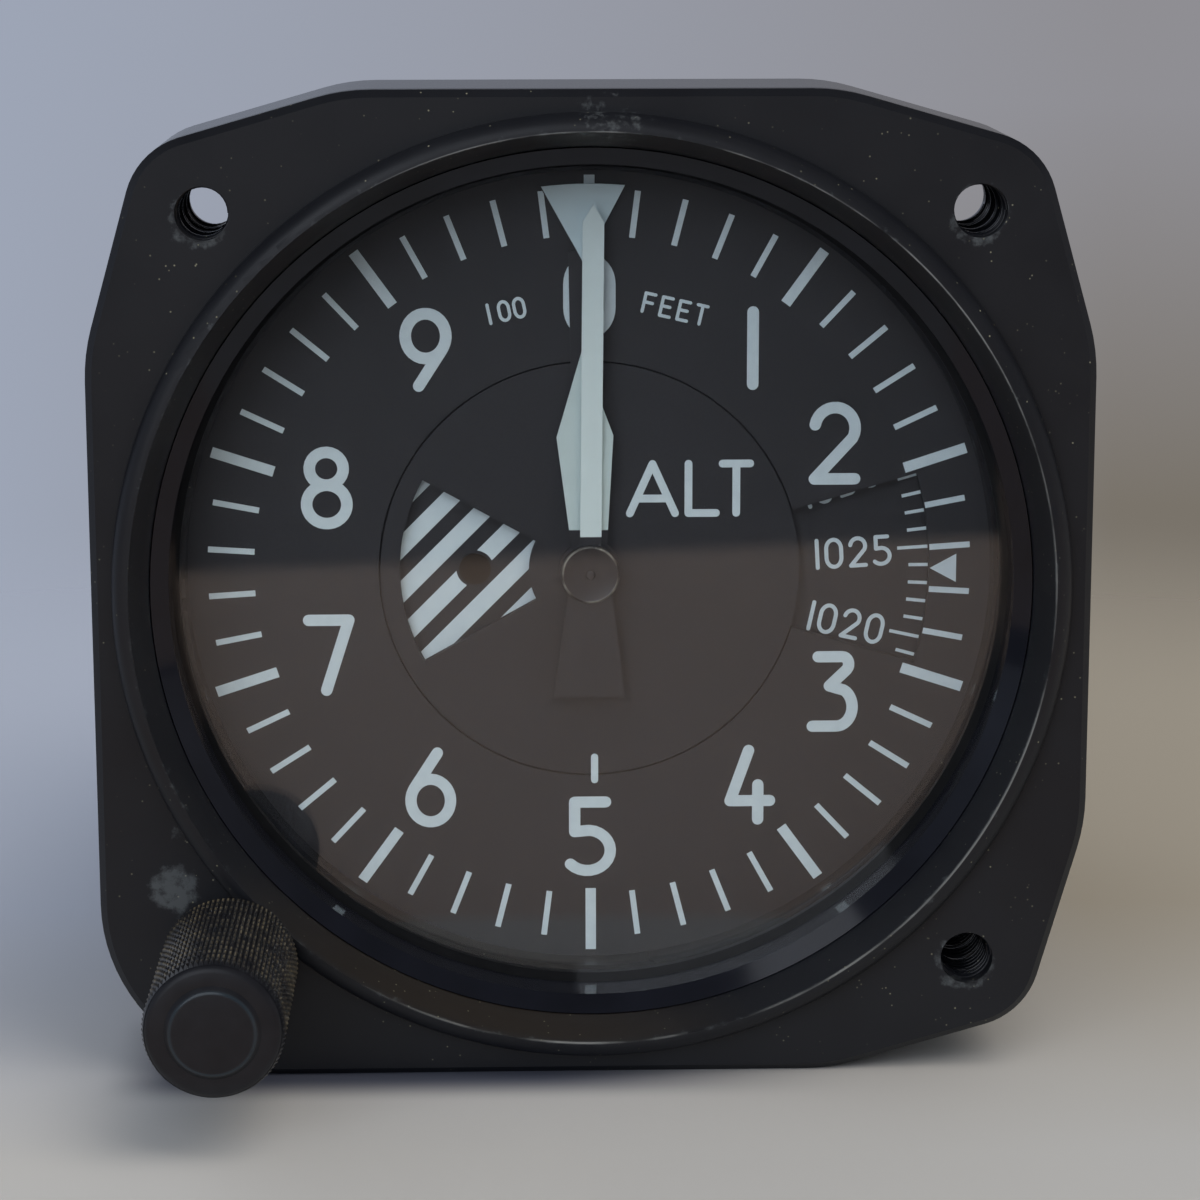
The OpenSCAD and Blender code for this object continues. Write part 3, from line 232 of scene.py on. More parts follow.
# Centre lines of each character in a unit box, as (points, closed)
GLYPHS = {
    "0": [(arc(0.5, 0.66, 0.5, 0.34, 0, 180) + arc(0.5, 0.34, 0.5, 0.34, 180, 360), True)],
    "1": [([(0.5, 0), (0.5, 1)], False)],
    "2": [(arc(0.5, 0.71, 0.5, 0.29, 170, -28) + [(0, 0)], False), ([(0, 0), (1, 0)], False)],
    "3": [
        ([(0.13, 1)] + arc(0.73, 0.89, 0.17, 0.11, 90, -42, 8) + [(0.42, 0.58)], False),
        ([(0.42, 0.58)] + arc(0.6, 0.275, 0.4, 0.275, 62, -90) + [(0, 0)], False),
    ],
    "4": [([(0.46, 1), (0, 0.27)], False), ([(0, 0.27), (1, 0.27)], False), ([(0.7, 0.5), (0.7, 0)], False)],
    "5": [
        ([(0.88, 1), (0.1, 1)], False),
        ([(0.1, 1), (0.1, 0.57)], False),
        ([(0.1, 0.57)] + arc(0.42, 0.295, 0.58, 0.295, 85, -138), False),
    ],
    "6": SIX,
    "7": [([(0, 1), (1, 1)], False), ([(1, 1), (0.42, 0)], False)],
    "8": [(arc(0.5, 0.77, 0.42, 0.23, 0, 350, 24), True), (arc(0.5, 0.27, 0.5, 0.27, 0, 350, 28), True)],
    "9": upside_down(SIX),
    "A": [([(0, 0), (0.5, 1)], False), ([(0.5, 1), (1, 0)], False), ([(0.19, 0.3), (0.81, 0.3)], False)],
    "E": [([(0, 0), (0, 1)], False)] + [([(0, y), (x, y)], False) for x, y in ((1, 1), (0.85, 0.52), (1, 0))],
    "F": [([(0, 0), (0, 1)], False), ([(0, 1), (1, 1)], False), ([(0, 0.52), (0.85, 0.52)], False)],
    "L": [([(0, 1), (0, 0)], False), ([(0, 0), (1, 0)], False)],
    "T": [([(0, 1), (1, 1)], False), ([(0.5, 1), (0.5, 0)], False)],
}
ROUND_END = 8  # steps in the half circle at the end of a stroke
LAYER_STEP = 0.006 * MM  # one stroke of a character stands this far in front of the one before


def paint_stroke(bm, points, width, front, back, closed):
    """One flat stroke of paint with round ends, facing -Y between two depths."""
    flat = [Vector(p) for p in points]
    count = len(flat)
    sides = []
    for k, p in enumerate(flat):
        before = flat[k - 1] if k or closed else p
        after = flat[(k + 1) % count] if k + 1 < count or closed else p
        along = (after - before).normalized()
        sides.append(Vector((-along.y, along.x)) * width / 2)
    left = [bm.verts.new((p.x + s.x, front, p.y + s.y)) for p, s in zip(flat, sides)]
    right = [bm.verts.new((p.x - s.x, front, p.y - s.y)) for p, s in zip(flat, sides)]
    faces = []
    for k in range(count if closed else count - 1):
        n = (k + 1) % count
        faces.append(bm.faces.new((left[k], left[n], right[n], right[k])))
    if not closed:
        for k, turn in ((0, 1), (count - 1, -1)):
            rim = []
            for step in range(1, ROUND_END):
                spoke = Matrix.Rotation(turn * math.pi * step / ROUND_END, 2) @ sides[k]
                rim.append(bm.verts.new((flat[k].x + spoke.x, front, flat[k].y + spoke.y)))
            faces.append(bm.faces.new([left[k], *rim, right[k]]))
    made = bmesh.ops.extrude_face_region(bm, geom=faces, use_keep_orig=True)["geom"]
    for v in made:
        if isinstance(v, bmesh.types.BMVert):
            v.co.y = back


def letter(bm, char, centre, width, height, stroke, front, back, tilt=0.0):
    """Draws one character in a box about centre, turned anticlockwise by tilt in degrees.

    Each stroke lies a little in front of the one before, so that crossings don't share a plane."""
    turn = Matrix.Rotation(math.radians(tilt), 2)
    for layer, (points, closed) in enumerate(GLYPHS[char]):
        placed = []
        for x, y in points:
            spot = turn @ Vector(((x - 0.5) * (width - stroke), (y - 0.5) * (height - stroke)))
            placed.append((centre[0] + spot.x, centre[1] + spot.y))
        paint_stroke(bm, placed, stroke, front - layer * LAYER_STEP, back, closed)


def new_tree(name, inputs):
    """A geometry tree with named inputs; returns the tree and its two end nodes."""
    tree = bpy.data.node_groups.new(name, "GeometryNodeTree")
    tree.interface.new_socket("Geometry", in_out="INPUT", socket_type="NodeSocketGeometry")
    for label, kind in inputs.items():
        tree.interface.new_socket(label, in_out="INPUT", socket_type="NodeSocket" + kind)
    tree.interface.new_socket("Geometry", in_out="OUTPUT", socket_type="NodeSocketGeometry")
    return tree, add(tree, "NodeGroupInput"), add(tree, "NodeGroupOutput")


def end_tree(tree, source, sink, field):
    """Makes the instances real and gives them the tree's material."""
    plain = add(tree, "GeometryNodeRealizeInstances", {0: field})
    coated = add(tree, "GeometryNodeSetMaterial", {"Geometry": plain, "Material": source.outputs["Material"]})
    join(sink, {0: coated})
    return tree


def evaluated(name, mesh, tree, values, body):
    """Runs a geometry tree on a mesh and keeps the result as a plain piece."""
    host = new_object(name + "_host", mesh)
    modifier = host.modifiers.new("tree", "NODES")
    modifier.node_group = tree
    for item in tree.interface.items_tree:
        if item.in_out == "INPUT" and item.name in values:
            modifier[item.identifier] = values[item.name]
    depsgraph = bpy.context.evaluated_depsgraph_get()
    made = bpy.data.meshes.new_from_object(host.evaluated_get(depsgraph))
    made.name = name
    bpy.data.objects.remove(host)
    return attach(new_object(name, made), body)


# ---- materials ----
# Scuffs on the housing's front: middle, radius where wear starts and where it is full, share of bare metal
SCUFFS = [((x * HOLE_AT - 0.2 * MM, 0, z * HOLE_AT - 0.45 * MM), 3.05 * MM, 2.3 * MM, 0.66) for x, z in HOLES]
SCUFFS += [
    ((-35.0 * MM, 0, -24.9 * MM), 2.9 * MM, 1.4 * MM, 1.1),  # corner above the knob
    ((-34.6 * MM, 0, -20.0 * MM), 1.1 * MM, 0.3 * MM, 0.7),
    ((1.2 * MM, 0, 38.2 * MM), 5.5 * MM, 1.0 * MM, 0.55),  # top of the bezel
]


def new_material(name):
    """A material with one Principled shader; returns it with its tree, shader and Object coordinates."""
    material = bpy.data.materials.new(name)
    material.use_nodes = True
    tree = material.node_tree
    tree.nodes.clear()
    shader = add(tree, "ShaderNodeBsdfPrincipled")
    add(tree, "ShaderNodeOutputMaterial", {"Surface": shader})
    coords = add(tree, "ShaderNodeTexCoord").outputs["Object"]
    return material, tree, shader, coords


def anodised_black(settings):
    """Black anodised aluminium, handled for years: satin, dusty in the grain and bare grey metal where it was hit,
    with a painted warm reflection low in the mouth and an edge line round the mouth that is partly a painted
    highlight.
    """
    material, tree, shader, coords = new_material("worn black anodised aluminium")
    smudge = add(tree, NOISE, {"Vector": coords, "Scale": 1 / (9 * MM), "Detail": 4.0})
    grain = add(tree, NOISE, {"Vector": coords, "Scale": 1 / (0.35 * MM), "Detail": 2.0})
    chips = add(tree, NOISE, {"Vector": coords, "Scale": 1 / (1.1 * MM), "Detail": 5.0, "Roughness": 0.7})
    flat = add(tree, VECTOR, {0: coords, 1: ACROSS}, operation="MULTIPLY")
    axes = add(tree, AXES, {0: coords}).outputs
    radius = add(tree, VECTOR, {0: flat}, operation="LENGTH")
    # Screws have chipped the rims of the holes; a corner, the bezel's top and its front edge are scuffed
    front = add(tree, RANGE, {"Value": axes["Y"], "From Min": 2.5 * MM, "From Max": 0.2 * MM})
    off_lip = add(tree, MATH, {0: radius, 1: BEZEL_LIP}, operation="SUBTRACT")
    off_lip = add(tree, MATH, {0: off_lip}, operation="ABSOLUTE")
    wear = add(tree, RANGE, {"Value": off_lip, "From Min": 0.5 * MM, "From Max": 0.05 * MM, "To Max": 0.42})
    for centre, outer, inner, weight in SCUFFS:
        away = add(tree, VECTOR, {0: flat, 1: centre}, operation="DISTANCE")
        spot = add(tree, RANGE, {"Value": away, "From Min": outer, "From Max": inner, "To Max": weight})
        wear = add(tree, MATH, {0: wear, 1: spot}, operation="MAXIMUM")
    wear = add(tree, MATH, {0: wear, 1: front}, operation="MULTIPLY")
    bare = add(tree, MATH, {0: wear, 1: 0.36, 2: chips}, operation="MULTIPLY_ADD")
    bare = add(tree, RANGE, {"Value": bare, "From Min": 0.7, "From Max": 0.9, "To Max": 0.44})
    # A painted warm reflection lies in the lower half of the bezel's mouth
    mouth = add(tree, RANGE, {"Value": radius, "From Min": 38.1 * MM, "From Max": 37.7 * MM, "To Max": 0.5})
    leaning = add(tree, VECTOR, {0: coords, 1: (-0.28, 0, -0.96)}, operation="DOT_PRODUCT")
    lower = add(tree, RANGE, {"Value": leaning, "From Min": 30 * MM, "From Max": 37 * MM})
    painted_reflection = add(tree, MATH, {0: mouth, 1: lower}, operation="MULTIPLY")
    # The mouth's edge is a thin broken line of bare metal, except at the left: partly rubbed wear, partly a painted
    # highlight
    lip_wear_and_highlight = add(tree, RANGE, {"Value": off_lip, "From Min": 0.1 * MM, "From Max": 0.04 * MM})
    aside = add(tree, RANGE, {"Value": axes["X"], "From Min": -20 * MM, "From Max": -6 * MM})
    broken = add(tree, RANGE, {"Value": smudge, "From Min": 0.42, "From Max": 0.6, "To Max": 0.6})
    for mask in (aside, front, broken):
        lip_wear_and_highlight = add(tree, MATH, {0: lip_wear_and_highlight, 1: mask}, operation="MULTIPLY")
    # Dust specks of about a tenth of a millimetre
    cells = add(tree, "ShaderNodeTexVoronoi", {"Vector": coords, "Scale": 1 / (0.9 * MM)})
    speck = add(tree, RANGE, {"Value": cells, "From Min": 0.1, "From Max": 0.06})
    dusty = add(tree, RANGE, {"Value": smudge, "From Min": 0.42, "From Max": 0.6, "To Max": 0.75})
    speck = add(tree, MATH, {0: speck, 1: dusty}, operation="MULTIPLY")
    # Layers: random tone, painted warm reflection, the mouth's edge line (partly a painted highlight), dust specks,
    # bare metal
    layers = ((smudge, "#191b20"), (painted_reflection, "#2a2216"), (lip_wear_and_highlight, "#8b8d8c"), (speck, "#85836f"), (bare, "#646a6d"))
    tone = settings.housing
    for share, colour in layers:
        tone = add(tree, MIX, {"Factor": share, 6: tone, 7: linear(colour)}, data_type="RGBA")
    # Glossier behind the front face, dull over the painted reflection in the mouth
    rough = add(tree, RANGE, {"Value": smudge, "From Min": 0.3, "From Max": 0.7, "To Min": 0.4, "To Max": 0.52})
    rough = add(tree, MIX, {"Factor": front, 2: 0.22, 3: rough}, data_type="FLOAT")
    rough = add(tree, MIX, {"Factor": painted_reflection, 2: rough, 3: 0.9}, data_type="FLOAT")
    bump = add(tree, "ShaderNodeBump", {"Height": grain, "Strength": 0.12, "Distance": 0.05 * MM})
    join(shader, {"Base Color": tone, "Roughness": rough, "Specular IOR Level": 0.34, "Normal": bump})
    return material


def knurled_black(settings, root):
    """Black anodised knob: the knurl's points, which rise from the root, and the boss's edge are lighter, partly worn
    by fingers and partly painted glints and highlights.
    """
    material, tree, shader, coords = new_material("worn knurled black")
    flat = add(tree, VECTOR, {0: coords, 1: ACROSS}, operation="MULTIPLY")
    away = add(tree, VECTOR, {0: flat, 1: (KNOB_AT.x, 0, KNOB_AT.z)}, operation="DISTANCE")
    # Lighter knurl tips: partly worn by fingers, partly painted glints
    tips = add(tree, RANGE, {"Value": away, "From Min": root + 0.08 * MM, "From Max": root + 0.22 * MM})
    # Lighter, glossier ring at the boss's edge: partly rubbed wear, partly a painted highlight
    off_boss = add(tree, MATH, {0: away, 1: KNOB_BOSS - 0.04 * MM}, operation="SUBTRACT")
    off_boss = add(tree, MATH, {0: off_boss}, operation="ABSOLUTE")
    edge = add(tree, RANGE, {"Value": off_boss, "From Min": 0.2 * MM, "From Max": 0.06 * MM})
    deep = add(tree, AXES, {0: coords}).outputs["Y"]
    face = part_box("setting_knob")[0].y
    side = add(tree, RANGE, {"Value": deep, "From Min": face + 1.2 * MM, "From Max": face + 2.2 * MM})
    patchy = add(tree, NOISE, {"Vector": coords, "Scale": 1 / (1.4 * MM), "Detail": 4.0})
    worn = add(tree, MATH, {0: tips, 1: side}, operation="MULTIPLY")
    patches = add(tree, RANGE, {"Value": patchy, "From Min": 0.36, "From Max": 0.68, "To Max": 0.9})
    worn = add(tree, MATH, {0: worn, 1: patches}, operation="MULTIPLY")
    tone = settings.housing
    for share, colour in ((patchy, "#1c1d22"), (worn, "#736a55"), (edge, "#252c32")):
        tone = add(tree, MIX, {"Factor": share, 6: tone, 7: linear(colour)}, data_type="RGBA")
    rough = add(tree, MIX, {"Factor": edge, 2: 0.42, 3: 0.2}, data_type="FLOAT")
    grain = add(tree, NOISE, {"Vector": coords, "Scale": 1 / (0.3 * MM), "Detail": 2.0})
    bump = add(tree, "ShaderNodeBump", {"Height": grain, "Strength": 0.15, "Distance": 0.04 * MM})
    join(shader, {"Base Color": tone, "Roughness": rough, "Specular IOR Level": 0.3, "Normal": bump})
    return material


def polished_black():
    """Black anodising over a turned ring: glossy, with the faint rings of the tool."""
    material, tree, shader, coords = new_material("turned black anodised ring")
    flat = add(tree, VECTOR, {0: coords, 1: ACROSS}, operation="MULTIPLY")
    radius = add(tree, VECTOR, {0: flat}, operation="LENGTH")
    rings = add(tree, NOISE, {"W": radius, "Scale": 1 / (0.12 * MM), "Detail": 1.0}, noise_dimensions="1D")
    smudge = add(tree, NOISE, {"Vector": coords, "Scale": 1 / (5 * MM), "Detail": 3.0})
    tone = add(tree, MIX, {"Factor": smudge, 6: linear("#0f1014"), 7: linear("#1a1c24")}, data_type="RGBA")
    rough = add(tree, RANGE, {"Value": rings, "To Min": 0.05, "To Max": 0.11})
    join(shader, {"Base Color": tone, "Specular IOR Level": 0.24, "Roughness": rough})
    return material


def case_enamel():
    """Stoved black enamel on the drawn case: half gloss with a fine orange peel."""
    material, tree, shader, coords = new_material("stoved black enamel")
    peel = add(tree, NOISE, {"Vector": coords, "Scale": 1 / (0.7 * MM), "Detail": 2.0})
    rubbed = add(tree, NOISE, {"Vector": coords, "Scale": 1 / (12 * MM), "Detail": 4.0})
    tone = add(tree, MIX, {"Factor": rubbed, 6: linear("#121316"), 7: linear("#23242a")}, data_type="RGBA")
    rough = add(tree, RANGE, {"Value": rubbed, "From Min": 0.3, "From Max": 0.7, "To Min": 0.34, "To Max": 0.42})
    bump = add(tree, "ShaderNodeBump", {"Height": peel, "Strength": 0.2, "Distance": 0.05 * MM})
    join(shader, {"Base Color": tone, "Roughness": rough, "Normal": bump})
    return material


def dial_lacquer(settings):
    """Matt black lacquer sprayed on the dial: even, with a dry fine speckle."""
    material, tree, shader, coords = new_material("matt black dial lacquer")
    speckle = add(tree, NOISE, {"Vector": coords, "Scale": 1 / (0.25 * MM), "Detail": 3.0})
    cloud = add(tree, NOISE, {"Vector": coords, "Scale": 1 / (18 * MM), "Detail": 3.0})
    mixed = add(tree, MATH, {0: speckle, 1: cloud}, operation="MULTIPLY")
    tone = add(tree, MIX, {"Factor": mixed, 6: settings.dial, 7: linear("#2b2a30")}, data_type="RGBA")
    bump = add(tree, "ShaderNodeBump", {"Height": speckle, "Strength": 0.15, "Distance": 0.03 * MM})
    join(shader, {"Base Color": tone, "Roughness": 0.62, "Normal": bump})
    return material


def hub_black(settings):
    """Black lacquer on the turned hub cap: half gloss, with a broken line of bare metal along the rim, partly rubbed
    wear and partly a painted highlight.
    """
    material, tree, shader, coords = new_material("rubbed black hub lacquer")
    flat = add(tree, VECTOR, {0: coords, 1: ACROSS}, operation="MULTIPLY")
    radius = add(tree, VECTOR, {0: flat}, operation="LENGTH")
    low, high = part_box("hub_cap")
    rim = (high.x - low.x) / 2 - 0.14 * MM
    off_rim = add(tree, MATH, {0: radius, 1: rim}, operation="SUBTRACT")
    off_rim = add(tree, MATH, {0: off_rim}, operation="ABSOLUTE")
    worn = add(tree, NOISE, {"Vector": coords, "Scale": 1 / (1.5 * MM), "Detail": 3.0})
    # Bare rim line: partly rubbed wear, partly a painted highlight of the lit edge
    line = add(tree, RANGE, {"Value": off_rim, "From Min": 0.13 * MM, "From Max": 0.03 * MM})
    broken = add(tree, RANGE, {"Value": worn, "From Min": 0.35, "From Max": 0.65})
    bare = add(tree, MATH, {0: line, 1: broken}, operation="MULTIPLY")
    tone = settings.dial
    for share, colour in ((worn, "#262428"), (bare, "#8d8a80")):
        tone = add(tree, MIX, {"Factor": share, 6: tone, 7: linear(colour)}, data_type="RGBA")
    join(shader, {"Base Color": tone, "Roughness": 0.4})
    return material


def mark_paint(settings):
    """Printed bluish white ink: matt, slightly thin in places."""
    material, tree, shader, coords = new_material("bluish white dial ink")
    thin = add(tree, NOISE, {"Vector": coords, "Scale": 1 / (0.8 * MM), "Detail": 3.0})
    tone = add(tree, MIX, {"Factor": thin, 6: linear("#c6d4da"), 7: settings.paint}, data_type="RGBA")
    join(shader, {"Base Color": tone, "Roughness": 0.6})
    return material


def pointer_paint(name, settings, root, tint_and_shade, slope=0.0):
    """Two-colour pointer enamel: matt black to a set height up the pointer, bluish white beyond it, tinted per
    pointer; on the short pointer the darker tint is painted shade.

    With a slope, the white is a wedge that widens from the root."""
    material, tree, shader, coords = new_material(name)
    axes = add(tree, AXES, {0: coords}).outputs
    above = add(tree, MATH, {0: axes["Z"], 1: root}, operation="SUBTRACT")
    if slope:
        aside = add(tree, MATH, {0: axes["X"], 1: 0.5 * MM}, operation="ADD")
        aside = add(tree, MATH, {0: aside}, operation="ABSOLUTE")
        above = add(tree, MATH, {0: above, 1: slope}, operation="MULTIPLY")
        above = add(tree, MATH, {0: above, 1: aside}, operation="SUBTRACT")
    white = add(tree, RANGE, {"Value": above, "From Min": -0.03 * MM, "From Max": 0.03 * MM})
    thin = add(tree, NOISE, {"Vector": coords, "Scale": 1 / (1.2 * MM), "Detail": 3.0})
    light = add(tree, MIX, {"Factor": thin, 6: linear("#d4e1e4"), 7: settings.paint}, data_type="RGBA")
    tinted = {"Factor": 1.0, 6: light, 7: linear(tint_and_shade)}
    light = add(tree, MIX, tinted, data_type="RGBA", blend_type="MULTIPLY")
    dark = add(tree, MIX, {"Factor": thin, 6: settings.dial, 7: linear("#232227")}, data_type="RGBA")
    tone = add(tree, MIX, {"Factor": white, 6: dark, 7: light}, data_type="RGBA")
    join(shader, {"Base Color": tone, "Roughness": 0.55})
    return material


def crystal():
    """Flat float glass: clear, with a faint cool edge, and it lets lamp light through to the dial."""
    material, tree, shader, coords = new_material("clear instrument glass")
    haze = add(tree, NOISE, {"Vector": coords, "Scale": 1 / (6 * MM), "Detail": 5.0})
    film = add(tree, RANGE, {"Value": haze, "From Min": 0.55, "From Max": 0.85, "To Min": 0.0, "To Max": 0.012})
    join(shader, {"Roughness": film, "Base Color": linear("#f6fafb"), "Transmission Weight": 1.0, "IOR": 1.5})
    clear = add(tree, "ShaderNodeBsdfTransparent", {"Color": (0.92, 0.92, 0.92, 1)})
    shadow = add(tree, "ShaderNodeLightPath").outputs["Is Shadow Ray"]
    both = add(tree, "ShaderNodeMixShader", {0: shadow, 1: shader, 2: clear})
    join(tree.get_output_node("ALL"), {"Surface": both})
    return material


def metal(name, colour, dark, rough, stretch):
    """Bare metal with the fine marks of its tool, long along the stretch's small axis."""
    material, tree, shader, coords = new_material(name)
    drawn = add(tree, "ShaderNodeMapping", {"Vector": coords, "Scale": stretch})
    marks = add(tree, NOISE, {"Vector": drawn, "Scale": 1 / (0.5 * MM), "Detail": 3.0})
    stain = add(tree, NOISE, {"Vector": coords, "Scale": 1 / (7 * MM), "Detail": 4.0})
    tone = add(tree, MIX, {"Factor": stain, 6: colour, 7: dark}, data_type="RGBA")
    grit = add(tree, RANGE, {"Value": marks, "To Min": rough - 0.08, "To Max": rough + 0.1})
    bump = add(tree, "ShaderNodeBump", {"Height": marks, "Strength": 0.08, "Distance": 0.03 * MM})
    join(shader, {"Base Color": tone, "Metallic": 1.0, "Roughness": grit, "Normal": bump})
    return material


def seal_rubber():
    """Moulded nitrile rubber: matt and dusty black."""
    material, tree, shader, coords = new_material("moulded nitrile rubber")
    bloom = add(tree, NOISE, {"Vector": coords, "Scale": 1 / (2 * MM), "Detail": 3.0})
    tone = add(tree, MIX, {"Factor": bloom, 6: linear("#101011"), 7: linear("#232325")}, data_type="RGBA")
    join(shader, {"Base Color": tone, "Roughness": 0.8})
    return material


MATERIALS = {}
FINISH_BY_SLOT = {
    "black_housing": "housing",
    "dial_black": "dial",
    "mark_white": "ink",
    "clear_glass": "glass",
    "black_rubber": "rubber",
    "movement_brass": "brass",
    "capsule_bronze": "bronze",
    "steel": "steel",
    "port_alloy": "alloy",
}
FINISH_BY_NODE = {
    "lens_ring": "ring",
    "case_can": "enamel",
    "rear_cover": "enamel",
    "gear_cover": "enamel",
    "setting_knob": "knurl",
    "flag_rivet": "rivet",
    "hub_cap": "hub",
    "pointer_100": "long",
    "pointer_1000": "short",
    "pointer_10000": "marker",
}


class ALTIMETER_OT_finishes(Operator):
    """Makes the finishes and gives each solid its own"""

    bl_idname = "altimeter.finishes"
    bl_label = "Finishes"

    def execute(self, context):
        settings = context.scene.altimeter_finish
        knob = context.scene.altimeter_knob
        made = {
            "brass": metal("brushed brass", settings.brass, linear("#a98239"), 0.3, (1, 1, 0.1)),
            "steel": metal("turned steel", linear("#b4b6b8"), linear("#8c8f93"), 0.3, (1, 0.15, 1)),
            "housing": anodised_black(settings),
            "knurl": knurled_black(settings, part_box("setting_knob")[1].x - KNOB_AT.x - knob.height),
            "ring": polished_black(),
            "enamel": case_enamel(),
            "dial": dial_lacquer(settings),
            "ink": mark_paint(settings),
            "long": pointer_paint("long pointer enamel", settings, 3.2 * MM, "#fefffa"),
            # The short pointer's darker tint is painted shade
            "short": pointer_paint("short pointer enamel", settings, 3.7 * MM, "#ebefea"),
            "marker": pointer_paint("marker pointer enamel", settings, 26.3 * MM, "#f1f8fa", 0.554),
            "glass": crystal(),
            "rubber": seal_rubber(),
            "bronze": metal("beryllium bronze", linear("#c08a5c"), linear("#9a653c"), 0.34, (0.2, 1, 1)),
            "rivet": metal("darkened brass rivet", linear("#3f3730"), linear("#2a2521"), 0.42, (1, 1, 1)),
            "hub": hub_black(settings),
            "alloy": metal("machined aluminium", linear("#c3c5c7"), linear("#a3a6a9"), 0.32, (1, 0.15, 1)),
        }
        MATERIALS.update(made)
        for part in frame["record"]["subparts"]:
            name = part["node"]
            finish = made[FINISH_BY_NODE.get(name) or FINISH_BY_SLOT[part["material_slot"]]]
            mesh = NODES[name].data
            mesh.materials.clear()
            mesh.materials.append(finish)
        return {"FINISHED"}


# ---- lettering ----
NUMERAL_RING = 23.45 * MM  # radius of the circle through the numerals' middles
NUMERAL_SHAPE = 0.62  # width of a numeral over its height
BESIDE_WINDOW = {2: 27.5, 3: -27.3}  # angles of the two numerals that stand off from the pressure window
WORD_Z, WORD_STROKE = 7.02 * MM, 0.66 * MM
WORD_LETTERS = (("A", 5.32, 4.5), ("L", 9.55, 3.0), ("T", 12.45, 3.0))  # letter, middle and width in mm
# Small words: text, middle in mm, tilt in degrees, letter spacing in mm
SMALL_WORDS = (("100", (-7.17, 22.22), 12, 1.3), ("FEET", (7.2, 22.32), -13, 1.5))
SMALL_W, SMALL_H, SMALL_STROKE = 1.1 * MM, 1.85 * MM, 0.27 * MM
BAR = [(0.36 * MM, -18.4 * MM), (0.36 * MM, -16.4 * MM)]  # short bar above the five
BAR_W = 0.62 * MM
SCALE_SET = 1024  # pressure at the index at rest
SCALE_STEP = 3.15  # degrees of the scale for one unit of pressure
DIGIT_TILT, DIGIT_DROP = 0.2, 0.1 * MM  # the print sits a little off its marks
DIGIT_REACH = 25.9 * MM  # radius that the digits end at
DIGIT_W, DIGIT_STROKE, DIGIT_GAP = 1.62 * MM, 0.34 * MM, 0.45 * MM


class ALTIMETER_OT_lettering(Operator):
    """Prints the numerals and words on the dial"""

    bl_idname = "altimeter.lettering"
    bl_label = "Dial lettering"

    def execute(self, context):
        dial = context.scene.altimeter_dial
        front, back = DIAL_FRONT - dial.paint_t, DIAL_FRONT
        height = dial.numeral_h
        bm = bmesh.new()
        for number in range(10):
            angle = math.radians(BESIDE_WINDOW.get(number, 90 - 36 * number))
            centre = (NUMERAL_RING * math.cos(angle), NUMERAL_RING * math.sin(angle))
            letter(bm, str(number), centre, NUMERAL_SHAPE * height, height, dial.numeral_stroke, front, back)
        for char, x, width in WORD_LETTERS:
            letter(bm, char, (x * MM, WORD_Z), width * MM, dial.word_h, WORD_STROKE, front, back)
        for word, middle, tilt, pitch in SMALL_WORDS:
            turn = Matrix.Rotation(math.radians(tilt), 2)
            for k, char in enumerate(word):
                across = (k - (len(word) - 1) / 2) * pitch * MM
                spot = turn @ Vector((across, 0))
                centre = (middle[0] * MM + spot.x, middle[1] * MM + spot.y)
                letter(bm, char, centre, SMALL_W, SMALL_H, SMALL_STROKE, front, back, tilt)
        paint_stroke(bm, BAR, BAR_W, front, back, False)
        piece = finish_piece(bm, "dial_lettering", MATERIALS["ink"], "case", smooth=False)
        return {"FINISHED"}


class ALTIMETER_OT_scale_digits(Operator):
    """Prints the pressure digits round the turning scale"""

    bl_idname = "altimeter.scale_digits"
    bl_label = "Pressure digits"

    def execute(self, context):
        dial = context.scene.altimeter_dial
        front, back = SCALE_FRONT - dial.paint_t, SCALE_FRONT
        bm = bmesh.new()
        for value in range(950, 1051, 5):
            tilt = SCALE_STEP * (value - SCALE_SET) + DIGIT_TILT
            turn = Matrix.Rotation(math.radians(tilt), 2)
            reach = DIGIT_REACH
            for char in reversed(str(value)):
                width = DIGIT_STROKE if char == "1" else DIGIT_W
                spot = turn @ Vector((reach - width / 2, -DIGIT_DROP))
                letter(bm, char, spot, width, dial.scale_h, DIGIT_STROKE, front, back, tilt)
                reach -= width + DIGIT_GAP
        piece = finish_piece(bm, "scale_digits", MATERIALS["ink"], "pressure_scale", smooth=False)
        return {"FINISHED"}


